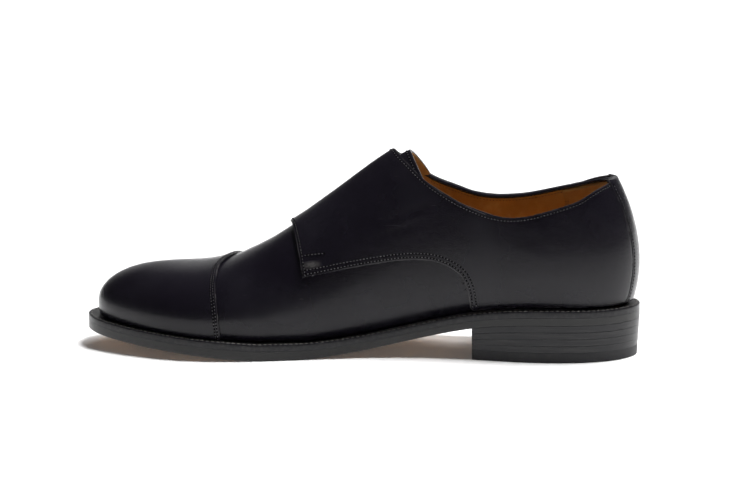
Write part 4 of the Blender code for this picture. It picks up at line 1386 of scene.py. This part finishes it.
@dataclass
class MedialQuarter:
    """The medial quarter, its flap over the instep and both straps, cut in one."""

    finishes: Finishes
    leathers: Leathers
    steps: int = 12
    rows: tuple[float, ...] = (0.0014, 0.0035)
    hem: float = 0.0016
    tack: tuple[tuple[float, float], ...] = ((0.592, 0.564), (0.556, 0.519))
    # Path of the painted highlight on the flap's front corner, by station and wrap
    wear_and_highlight: tuple[tuple[float, float], ...] = ((0.588, 0.500), (0.566, 0.478))

    def __post_init__(self) -> None:
        """Draw the quarter and the straps."""
        l = self.leathers
        self.panel = ribbed(MEDIAL_QUARTER, Side.MEDIAL, l.strip_half, l.layer_gap)
        count = len(MEDIAL_QUARTER) - 1
        first, middle, last = STRAP_ROOTS
        self.straps = {}
        for name, start, end, rows in (("upper", first, middle, UPPER_STRAP),
                                       ("lower", middle, last, LOWER_STRAP)):
            u = np.linspace(start, end, (end - start) * self.steps + 1) / count
            roots = np.stack(self.panel.surface(u, np.ones(len(u))), -1)
            self.straps[name] = Strap(roots, rows, l)

    def build(self) -> None:
        """Make the piece and its rows."""
        f, l, count = self.finishes, self.leathers, len(MEDIAL_QUARTER) - 1
        strap_panels = [Panel(strap.surface) for strap in self.straps.values()]
        bm = sheet((count * self.steps, 64, self.panel.place), *[
            (strap.columns - 1, 62, panel.place)
            for strap, panel in zip(self.straps.values(), strap_panels)])
        roots = [root / count for root in STRAP_ROOTS]
        seam = self.panel.border(Border.FOOT)
        hem = np.concatenate(
            [self.panel.border(Border.TOP, 0, roots[0]), self.panel.border(Border.FRONT)]
            + [panel.border(edge) for panel in strap_panels
               for edge in (Border.BACK, Border.FRONT, Border.TOP)])
        # Points along that path, round which the flap's material paints its highlight
        share = np.linspace(0, 1, 20)[:, None]
        painted_highlight = np.array(self.wear_and_highlight[0]) * (1 - share) + np.array(self.wear_and_highlight[1]) * share
        painted_highlight = LAST.on(angle_of(painted_highlight[:, 0]), painted_highlight[:, 1], l.layer_gap)
        piece = Piece("medial_quarter_leather", f.flap, "upper", ("medial_quarter",),
                      tags={"seam": seam, "hem": hem, "painted_highlight": painted_highlight})
        piece.make(bm, l.strap, rounding=l.rounding)
        lines = [self.panel.inset(Border.FOOT, row, l.strap, FOOT_ROWS_START, 0.996, 300)
                 for row in self.rows]
        lines.append(self.panel.inset(Border.TOP, self.hem, l.strap, 0.0, roots[0], 300))
        lines.append(self.panel.inset(Border.FRONT, self.hem, l.strap))
        for panel in strap_panels:
            lines += [panel.inset(edge, self.hem, l.strap, 0.0, 0.95)
                      for edge in (Border.BACK, Border.FRONT)]
        lines.append(self.tacked())
        sew_black("medial_quarter_stitches", f, lines)

    def tacked(self) -> Line:
        """The short row that tacks the flap's front corner."""
        (first, low), (last, high) = self.tack
        share = np.linspace(0, 1, 30)
        angle, wrap = angle_of(first + (last - first) * share), low + (high - low) * share
        lift = self.leathers.layer_gap + self.leathers.strap + 0.0006
        return LAST.on(angle, wrap, lift), LAST.normal(angle, wrap)


@dataclass
class LateralQuarter:
    """The lateral quarter, which the straps close over."""

    finishes: Finishes
    leathers: Leathers
    rows: tuple[float, ...] = (0.0014, 0.0035)
    hem: float = 0.0016

    def build(self) -> None:
        """Make the piece and its rows."""
        f, l = self.finishes, self.leathers
        panel = ribbed(LATERAL_QUARTER, Side.LATERAL, l.strip_half, l.layer_gap)
        tags = {"seam": panel.border(Border.FOOT), "hem": panel.border(Border.TOP)}
        piece = Piece("lateral_quarter_leather", f.calf, "upper", ("lateral_quarter",), tags=tags)
        piece.make(sheet((190, 56, panel.place)), l.overlay, rounding=l.rounding)
        lines = [panel.inset(Border.FOOT, row, l.overlay, FOOT_ROWS_START, 0.985, 300)
                 for row in self.rows]
        lines.append(panel.inset(Border.TOP, self.hem, l.overlay, 0.0, 0.985, 320))
        sew_black("lateral_quarter_stitches", f, lines)


@dataclass
class BackStrip:
    """The strip over the back seam, turned over the collar at its top."""

    finishes: Finishes
    leathers: Leathers
    top: float = 0.59
    end: float = 0.95
    tab_half: float = 0.0066
    hem: float = 0.0016
    columns: int = 12

    def panel(self, side: Side) -> Panel:
        """One half of the strip: u from its middle, v up it."""
        rises = np.linspace(FOOT_RISE, self.top, 40)
        shares = np.linspace(0, 1, self.columns + 1)
        table = np.array([LAST.solve_angle(side, rises, self.leathers.strip_half * share)
                          for share in shares])
        table[0] = 0.0

        def surface(u: Array, v: Array) -> tuple[Array, Array, Array]:
            """The strip at shares u and v."""
            rise = FOOT_RISE + (self.top - FOOT_RISE) * v
            spot = np.clip(u * self.columns, 0, self.columns)
            low = np.minimum(spot.astype(int), self.columns - 1)
            lines = np.array([np.interp(rise, rises, row) for row in table])
            picked, part = np.arange(len(u)), spot - low
            angle = lines[low, picked] * (1 - part) + lines[low + 1, picked] * part
            return angle, side.wrap(rise), np.full(len(u), self.leathers.layer_gap)

        return Panel(surface)

    def build(self) -> None:
        """Make the strip, its rows and the turned tab."""
        f, l = self.finishes, self.leathers
        panels, wall = [self.panel(side) for side in Side], l.strip + l.layer_gap
        hem = np.concatenate([panel.border(Border.FRONT) for panel in panels])
        piece = Piece("back_strip_leather", f.calf, "upper", ("back_strip",),
                      tags=PLAIN | {"hem": hem})
        bm = sheet(*[(self.columns, 60, panel.place) for panel in panels])
        piece.make(bm, wall, rounding=l.rounding)
        sew_black("back_strip_stitches", f, [
            panel.inset(Border.FRONT, self.hem, wall, 0.0, self.end) for panel in panels])
        self.tab()

    def tab(self) -> None:
        """The strip's end, turned over the collar and sewn down inside."""
        section = np.array(TAB_SECTION) * MM
        edge = Upper(self.finishes, self.leathers).collar_frame()
        behind = (np.abs(edge[0][:, 1] + LAST.shift) < self.tab_half) & (edge[0][:, 0] > 0.12)
        edge = [part[behind] for part in edge]
        ends = 1 - np.abs(np.linspace(-1, 1, len(edge[0]))) ** 8 * 0.4
        middle = section.mean(axis=0)
        bm = turned_over(edge, middle + (section - middle) * ends[:, None, None])
        Piece("back_tab", self.finishes.calf, "upper", tags=PLAIN).make(bm)


@dataclass
class Tongue:
    """The tongue: calf outside and lining inside, in the throat below the flap."""

    finishes: Finishes
    leathers: Leathers
    stand_in: float = 0.0023
    hem: float = 0.0022

    def build(self) -> None:
        """Make the tongue and its edge row."""
        f, l = self.finishes, self.leathers
        rows = [(front, wrap, 0, top, top_wrap, 0) for front, wrap, top, top_wrap in TONGUE]
        panel = ribbed(rows, Side.MEDIAL, 0.0, -self.stand_in)
        tags = PLAIN | {"hem": panel.border(Border.TOP)}
        piece = Piece("tongue_leather", f.calf, "upper", ("tongue",), f.lining, tags)
        bm = sheet((60, 60, panel.place))
        piece.make(bm, l.tongue, inward=True, rounding=l.rounding)
        sew_black("tongue_stitches", f, [panel.inset(Border.TOP, self.hem, 0.0)])


@dataclass
class Buckle:
    """A nickel buckle with its prong, its leather tab and the strap's spare holes."""

    finishes: Finishes
    leathers: Leathers
    strap: Strap
    number: int
    wire: float = 0.0022
    prong: float = 0.0016
    corner: float = 0.30
    rail_row: float = 2.6
    bar_row: float = 4.0
    tab_end_row: float = 6.0
    outside: float = 0.11
    tip: float = 0.93
    tab_edges: tuple[float, float] = (0.2, 0.8)
    tab_fold: float = 0.3
    tab_wall: float = 0.8
    # The strap's holes are drawn as dark spots of painted shade of this radius, at these rows
    hole: float = 0.0009
    holes: tuple[float, ...] = (3.55, 4.45, 5.3, 6.1)

    def ring(self) -> None:
        """The frame: flattened wire round the strap, its bar below it and its rail above."""
        radius = self.wire / 2
        bar = self.strap.lift(self.bar_row) - LAST.gap - radius
        rail = self.strap.lift(self.rail_row) + self.leathers.strap + LAST.gap + radius
        turns = np.linspace(0, 2 * math.pi, 97)[:-1]
        square = np.stack([np.cos(turns), np.sin(turns)], -1)
        square = np.sign(square) * np.abs(square) ** self.corner
        middle, half = (self.bar_row + self.rail_row) / 2, (self.bar_row - self.rail_row) / 2
        angle, wrap, _ = self.strap.at(middle + half * square[:, 0],
                                       0.5 + (0.5 + self.outside) * square[:, 1])
        lift = rail + (bar - rail) * (square[:, 0] + 1) / 2
        around = np.linspace(0, 2 * math.pi, 15)[:-1]
        wide = radius * (1.0 + 0.28 * np.abs(square[:, 1]) ** 4)
        section = np.stack([np.broadcast_to(np.cos(around) * radius * 0.92, (96, 14)),
                            np.sin(around)[None] * wide[:, None]], -1)
        bm = bmesh.new()
        lay_sweep(bm, LAST.on(angle, wrap, lift), LAST.normal(angle, wrap), section, True)
        close(bm)
        name = f"buckle_{self.number}"
        Piece(f"{name}_frame", self.finishes.nickel, "buckle", (name,)).make(bm)

    def pin(self) -> None:
        """The prong: rolled round the bar, through the strap and over the rail."""
        radius, steps = self.prong / 2, 44
        bar = self.strap.lift(self.bar_row) - LAST.gap - self.wire / 2
        reach = np.linspace(self.bar_row, self.rail_row - 0.13, steps)
        top = np.array([self.strap.lift(row) for row in reach]) + self.leathers.strap + radius * 0.8
        rail = self.strap.lift(self.rail_row) + self.leathers.strap + LAST.gap + self.wire + radius
        over = np.exp(-np.maximum(reach - self.rail_row - 0.05, 0) ** 2 / 0.08)
        lift = top + (rail - top) * over
        through = np.clip((self.bar_row - reach) / 0.22, 0, 1)
        lift = bar + (lift - bar) * through * through * (3 - 2 * through)
        angle, wrap, _ = self.strap.at(reach, np.full(steps, 0.5))
        around = np.linspace(0, 2 * math.pi, 13)[:-1]
        share = np.linspace(0, 1, steps)
        past = np.clip(1 - ((share - self.tip) / 0.075) ** 2, 0.1, 1)
        size = radius * (1.05 - 0.28 * share) * np.sqrt(np.where(share > self.tip, past, 1.0))
        section = np.stack([np.cos(around), np.sin(around)], -1) * size[:, None, None]
        bm = bmesh.new()
        lay_sweep(bm, LAST.on(angle, wrap, lift), LAST.normal(angle, wrap), section, False)
        close(bm, fill=True)
        piece = Piece(f"buckle_{self.number}_pin", self.finishes.nickel, "buckle",
                      (f"buckle_prong_{self.number}",))
        piece.make(bm)

    def tab(self) -> None:
        """The tab that folds round the bar and is sewn to the quarter."""
        l = self.leathers
        low = l.over("quarter")
        bar = self.strap.lift(self.bar_row) - LAST.gap - self.wire / 2

        def surface(u: Array, v: Array) -> tuple[Array, Array, Array]:
            """The tab at shares u across it and v from the bar to its end."""
            turn = np.clip(v / self.tab_fold, 0, 1) * math.pi
            row = self.bar_row - 0.16 * np.sin(turn) + 0.12 * (turn >= math.pi)
            flat = (v - self.tab_fold) / (1 - self.tab_fold)
            row = np.where(flat > 0, self.bar_row + flat * (self.tab_end_row - self.bar_row), row)
            lift = bar + (bar - low) * np.cos(turn)
            ends = self.tab_edges
            across = ends[0] + (ends[1] - ends[0]) * u
            end = np.clip((v - self.tip) / (1 - self.tip), 0, 1)
            narrow = np.sqrt(np.maximum(1 - (end * 0.8) ** 2, 0))
            angle, wrap, _ = self.strap.at(row, 0.5 + (across - 0.5) * narrow)
            return angle, wrap, lift

        panel, wall, name = Panel(surface), l.tab * self.tab_wall, f"buckle_tab_{self.number}"
        piece = Piece(f"{name}_leather", self.finishes.calf, "upper", (name,), tags=PLAIN)
        piece.make(sheet((16, 48, panel.place)), wall, rounding=0.0002)
        lines = [panel.inset(edge, 0.0014, wall, 0.42, 0.93, 60)
                 for edge in (Border.BACK, Border.FRONT)]
        sew_black(f"{name}_stitches", self.finishes, lines)

    def punch(self) -> None:
        """The strap's holes, as dark flattened balls: painted shade in place of open holes."""
        bm = bmesh.new()
        for row in self.holes:
            angle, wrap, lift = self.strap.at(row, 0.5)
            point = LAST.on(angle, wrap, lift + self.leathers.strap)[0]
            normal = Vector(LAST.normal(angle, wrap)[0])
            turn = normal.to_track_quat("Z", "Y").to_matrix().to_4x4()
            place = Matrix.Translation(Vector(point)) @ turn @ Matrix.Diagonal((1, 1, 0.16, 1))
            bmesh.ops.create_uvsphere(bm, u_segments=16, v_segments=8, radius=self.hole,
                                      matrix=place)
        Piece(f"strap_{self.number}_holes", self.finishes.rubber, "upper").make(bm)

    def build(self) -> None:
        """Make the buckle."""
        self.ring()
        self.pin()
        self.tab()
        self.punch()


@dataclass
class Sole:
    """Outsole, welt and insole, with the sock that lies on it."""

    finishes: Finishes
    welt_row: float = 0.0016
    insole_clearance: float = 0.0006
    before_heel: float = 0.31
    tread_at: float = -0.048
    tread_size: tuple[float, float] = (0.045, 0.046)
    sock_front: float = 0.36
    sock_inset: float = 0.0012
    sock_thickness: float = 0.0009

    @staticmethod
    def flat(bm: bmesh.types.BMesh, span: float, outline: Outline, bottom: Height, top: Height,
             steps: int = 150) -> None:
        """Lay a closed flat piece of the sole.

        Args:
            bm: the mesh to add to.
            span: angle that it reaches from the heel's back.
            outline: x and y of a side at an angle, of the top or, if True, the bottom.
            bottom: height of the lower face at an x.
            top: height of the upper face at an x.
            steps: how many faces it has along the outline.
        """
        def face(height: Height, low: bool) -> Place:
            """One of the two faces."""
            def place(u: Array, v: Array) -> Array:
                """A point across the piece."""
                share = (1 - np.cos(math.pi * v)) / 2
                (lx, ly), (rx, ry) = (outline(side, span * u, low) for side in Side)
                x, y = lx + (rx - lx) * share, ly + (ry - ly) * share
                return placed(x, y, height(x))

            return place

        lay_grid(bm, steps, 18, face(top, False))
        lay_grid(bm, steps, 18, face(bottom, True))
        for side in Side:

            def wall(u: Array, v: Array, side: Side = side) -> Array:
                """A point of the edge on this side."""
                (x0, y0), (x1, y1) = outline(side, span * u, True), outline(side, span * u, False)
                x, y = x0 + (x1 - x0) * v, y0 + (y1 - y0) * v
                return placed(x, y, bottom(x0) * (1 - v) + top(x1) * v)

            lay_grid(bm, steps, 3, wall)
        if span < math.pi:

            def breast(u: Array, v: Array) -> Array:
                """A point of the heel's breast."""
                end = np.ones(len(u))
                low, high = face(bottom, True)(end, u), face(top, False)(end, u)
                return low + (high - low) * v[:, None]

            lay_grid(bm, 18, 3, breast)
        close(bm)

    def rim(self, share: float) -> Array:
        """Close-set points of the outline at a share of the outsole's edge."""
        angle, lines = np.linspace(0, math.pi, 500), []
        for side in Side:
            x, y = LAST.edge(side, angle)
            low = LAST.underside(x)
            lines.append(placed(x, y, low + (LAST.outsole_top(x) - low) * share))
        return np.concatenate(lines)

    def outsole(self) -> None:
        """The outsole, rounded at its rim and trodden under the ball."""
        bm = bmesh.new()
        self.flat(bm, math.pi, lambda side, angle, low: LAST.edge(side, angle), LAST.underside,
                  LAST.outsole_top)
        soften(bm, 0.0004, 3, lambda spot: spot.z < float(LAST.underside(spot.x)) + 0.002
               and 0.5 - spot.x / LAST.sole_length > self.before_heel)
        rim = np.concatenate([self.rim(share) for share in np.linspace(0, 1, 7)])
        item = Piece("outsole_leather", self.finishes.sole, "outsole", ("outsole",),
                     tags={"rim": rim}).make(bm)
        points = np.array([vert.co for vert in item.data.vertices])
        along = (points[:, 0] - self.tread_at) / self.tread_size[0]
        trod = np.exp(-along ** 4 - ((points[:, 1] + LAST.shift) / self.tread_size[1]) ** 4)
        tread = item.data.attributes.new("tread", "FLOAT", "POINT")
        tread.data.foreach_set("value", trod)

    def welt(self) -> None:
        """The welt, and the stitches that hold the sole to it all round."""
        bm = bmesh.new()
        low, high = (lambda x: LAST.outsole_top(x) + LAST.gap * 0.3), LAST.welt_top

        def inner(side: Side, angle: Array) -> tuple[Array, Array]:
            """The welt's inner edge."""
            station = station_of(angle)
            inset = LAST.margin[side](station) + LAST.tuck(station) + LAST.upper_wall
            return LAST.edge(side, angle, inset)

        for side in Side:
            for height in (low, high):

                def face(u: Array, v: Array, side: Side = side, height: Any = height) -> Array:
                    """A point between the outer and the inner edge."""
                    (x0, y0), (x1, y1) = LAST.edge(side, math.pi * u), inner(side, math.pi * u)
                    x, y = x0 + (x1 - x0) * v, y0 + (y1 - y0) * v
                    return placed(x, y, height(x))

                lay_grid(bm, 200, 6, face)
            for edge in (LAST.edge, inner):

                def wall(u: Array, v: Array, side: Side = side, edge: Any = edge) -> Array:
                    """A point of a wall."""
                    x, y = edge(side, math.pi * u)
                    return placed(x, y, low(x) * (1 - v) + high(x) * v)

                lay_grid(bm, 200, 2, wall)
        close(bm)
        soften(bm, 0.00038, 3, lambda spot: spot.z > float(low(spot.x)) + LAST.welt_thickness / 2)
        Piece("welt_leather", self.finishes.welt, "welt", ("welt",)).make(bm)
        lines = []
        for side in Side:
            angle = np.linspace(0.004, math.pi - 0.004, 600)
            x, y = LAST.edge(side, angle, self.welt_row)
            points = placed(x, y, high(x))
            lines.append((points, np.broadcast_to([0.0, 0.0, 1.0], points.shape)))
        stitching = Stitching(pitch=0.0028, shows=0.0020, thread=0.0007, sink=-0.00008)
        stitching.sew(Piece("welt_stitches", self.finishes.welt_thread, "welt"), lines)

    def insole(self) -> None:
        """The insole, with an inked edge, and the sock that lies on its heel."""
        def outline(side: Side, angle: Array, low: bool) -> tuple[Array, Array]:
            """The insole's edge, inside the lining's foot."""
            station = station_of(angle)
            inset = LAST.margin[side](station) + LAST.tuck(station) + LAST.upper_wall
            return LAST.edge(side, angle, inset + self.insole_clearance)

        def height(rise: float) -> Height:
            """Heights over the insole's underside."""
            return lambda x: LAST.outsole_top(x) + LAST.gap + rise

        bm, f = bmesh.new(), self.finishes
        self.flat(bm, math.pi, outline, height(0.0), height(LAST.insole_thickness))
        soften(bm, 0.0008, 2)
        bm.normal_update()
        for face in bm.faces:
            face.material_index = int(face.normal.z < 0.5)
        Piece("insole_board", f.sock, "insole", ("insole",), f.welt).make(bm)
        bm = bmesh.new()

        def sock(side: Side, angle: Array, low: bool) -> tuple[Array, Array]:
            """The edge of the sock, a heel pad."""
            x, y = outline(side, angle, low)
            return x, y - np.sign(y) * self.sock_inset

        self.flat(bm, float(angle_of(self.sock_front)), sock, height(LAST.insole_thickness + 0.00002),
                  height(LAST.insole_thickness + self.sock_thickness), 80)
        soften(bm, 0.0003, 2)
        Piece("heel_sock", f.lining, "insole").make(bm)

    def build(self) -> None:
        """Make the sole."""
        self.outsole()
        self.welt()
        self.insole()


@dataclass
class Heel:
    """The stacked leather heel and its rubber top lift."""

    finishes: Finishes
    lifts: int = 4
    top_lift: float = 0.0055
    taper: float = 0.0012
    breast: float = 0.295
    crack: float = 0.0001

    def outline(self, upper: float, lower: float) -> Outline:
        """The heel's outline, narrower towards the floor: shares of its height."""
        def edge(side: Side, angle: Array, low: bool) -> tuple[Array, Array]:
            """A point of the outline."""
            return LAST.edge(side, angle, self.taper * (1 - (lower if low else upper)))

        return edge

    def level(self, share: float) -> Height:
        """Heights inside the heel: the top lift's upper face at 0, the outsole at 1."""
        return lambda x: self.top_lift + (LAST.underside(x) - self.top_lift) * share

    def joint(self, share: float, base: float) -> Array:
        """Close-set points round the joint at a share of the stack's height."""
        angle, lines = np.linspace(0, float(angle_of(self.breast)), 400), []
        for side in Side:
            x, y = LAST.edge(side, angle, self.taper * (1 - base) * (1 - share))
            lines.append(placed(x, y, self.level(share)(x)))
        ends = [line[-1] for line in lines]
        lines.append(np.linspace(*ends, 120))
        return np.concatenate(lines)

    def build(self) -> None:
        """Make the lifts and the top lift."""
        span = float(angle_of(self.breast))
        base = self.top_lift / LAST.heel_height
        for number in range(self.lifts):
            low, high = number / self.lifts, (number + 1) / self.lifts
            bm = bmesh.new()
            shape = self.outline(base + (1 - base) * high, base + (1 - base) * low)
            upper = self.level(high)
            Sole.flat(bm, span, shape, self.level(low), lambda x: upper(x) - self.crack, 90)
            name = f"heel_lift_{number + 1}"
            joints = np.concatenate([self.joint(share, base) for share in (low, high)])
            Piece(f"{name}_leather", self.finishes.stack, "heel_lift", (name,),
                  tags={"seam": joints}).make(bm)
        bm = bmesh.new()
        Sole.flat(bm, span, self.outline(base, 0.0), lambda x: 0 * x,
                  lambda x: 0 * x + self.top_lift - self.crack, 90)
        soften(bm, 0.0006, 3, lambda spot: spot.z < self.top_lift / 2)
        Piece("top_lift_rubber", self.finishes.rubber, "top_lift", ("top_lift",)).make(bm)


@dataclass
class Studio:
    """White floor, soft lights and the camera at the photograph's angle."""

    finishes: Finishes
    azimuth: float = 6.0
    elevation: float = 12.0
    distance: float = 1.6
    focal: float = 2912.0
    origin_at: tuple[float, float] = (362.0, 346.6)
    picture: tuple[int, int] = (750, 500)
    sensor: float = 36.0
    floor_half: float = 9.0
    room: float = 0.05
    backdrop: float = 0.48
    backdrop_from: tuple[float, float] = (0.70, 0.95)
    clip: tuple[float, float] = (0.05, 60.0)
    lamps: tuple[tuple[Any, ...], ...] = (
        # name, place, what it aims at, size, watts
        ("back", (0.5, 2.4, 1.6), (0.1, 1.5, 0.0), (2.0, 1.4), 70.0),
        ("overhead", (0.30, 0.05, 1.2), (0.0, 0.0, 0.05), (0.5, 0.42), 24.0),
    )

    def camera(self) -> None:
        """Place the camera: the shoe's origin falls on its pixel."""
        turn, tilt = math.radians(self.azimuth), math.radians(self.elevation)
        flat = math.cos(tilt)
        back = Vector((math.sin(turn) * flat, -math.cos(turn) * flat, math.sin(tilt)))
        right = Vector((math.cos(turn), math.sin(turn), 0))
        up = back.cross(right)
        target = Vector((0, -LAST.shift, 0))
        aside = (self.picture[0] / 2 - self.origin_at[0]) / self.focal * self.distance
        above = (self.origin_at[1] - self.picture[1] / 2) / self.focal * self.distance
        eye = bpy.data.cameras.new("camera")
        eye.sensor_width, eye.lens = self.sensor, self.focal / self.picture[0] * self.sensor
        eye.clip_start, eye.clip_end = self.clip
        item = bpy.data.objects.new("camera", eye)
        bpy.context.scene.collection.objects.link(item)
        item.location = target + back * self.distance
        aim = target + right * aside + up * above - item.location
        item.rotation_mode = "QUATERNION"
        item.rotation_quaternion = aim.to_track_quat("-Z", "Y")
        bpy.context.scene.camera = item

    def lamp(self, name: str, place: Vector, aim: Vector, size: tuple[float, float],
             power: float) -> None:
        """A soft box, kept out of the shoe's gloss."""
        light = bpy.data.lights.new(name, "AREA")
        light.shape, light.size, light.size_y, light.energy = "RECTANGLE", *size, power
        item = bpy.data.objects.new(name, light)
        item.location = place
        item.visible_glossy = False
        item.rotation_mode = "QUATERNION"
        item.rotation_quaternion = (aim - place).to_track_quat("-Z", "Y")
        bpy.context.scene.collection.objects.link(item)

    def world(self) -> None:
        """A dim room with a white backdrop behind the shoe, and white where it is seen directly."""
        room = bpy.data.worlds.new("studio")
        bpy.context.scene.world = room
        room.use_nodes = True
        nodes, links = room.node_tree.nodes, room.node_tree.links
        way, parts = nodes.new("ShaderNodeTexCoord"), nodes.new("ShaderNodeSeparateXYZ")
        behind = nodes.new("ShaderNodeMapRange")
        for socket, value in zip(("From Min", "From Max", "To Min", "To Max"),
                                 (*self.backdrop_from, self.room, self.backdrop)):
            behind.inputs[socket].default_value = value
        links.new(way.outputs["Generated"], parts.inputs[0])
        links.new(parts.outputs["Y"], behind.inputs["Value"])
        ray, tone = nodes.new("ShaderNodeLightPath"), nodes.new("ShaderNodeMix")
        tone.inputs["B"].default_value = 1.0
        links.new(ray.outputs["Is Camera Ray"], tone.inputs["Factor"])
        links.new(behind.outputs[0], tone.inputs["A"])
        links.new(tone.outputs[0], nodes["Background"].inputs["Strength"])
        nodes["Background"].inputs["Color"].default_value = (1.0, 1.0, 1.0, 1.0)

    def build(self) -> None:
        """Make the studio."""
        bm = bmesh.new()
        bmesh.ops.create_grid(bm, x_segments=8, y_segments=8, size=self.floor_half)
        mesh = bpy.data.meshes.new("floor")
        bm.to_mesh(mesh)
        bm.free()
        mesh.materials.append(self.finishes.floor)
        floor = bpy.data.objects.new("floor", mesh)
        bpy.context.scene.collection.objects.link(floor)
        self.camera()
        self.world()
        for name, place, aim, size, power in self.lamps:
            self.lamp(name, Vector(place), Vector(aim), size, power)
        scene = bpy.context.scene
        scene.view_settings.view_transform = "Standard"
        scene.view_settings.look = "None"


def main() -> None:
    """Build the shoe and the studio."""
    logging.basicConfig(level=logging.INFO, format="%(name)s: %(message)s")
    finishes, leathers = Finishes(), Leathers()
    Studio(finishes).build()
    Upper(finishes, leathers).build()
    ToeCap(finishes, leathers).build()
    quarter = MedialQuarter(finishes, leathers)
    quarter.build()
    LateralQuarter(finishes, leathers).build()
    BackStrip(finishes, leathers).build()
    Tongue(finishes, leathers).build()
    for number, strap in enumerate(quarter.straps.values(), start=1):
        Buckle(finishes, leathers, strap, number).build()
    Sole(finishes).build()
    Heel(finishes).build()


if __name__ == "__main__":
    main()
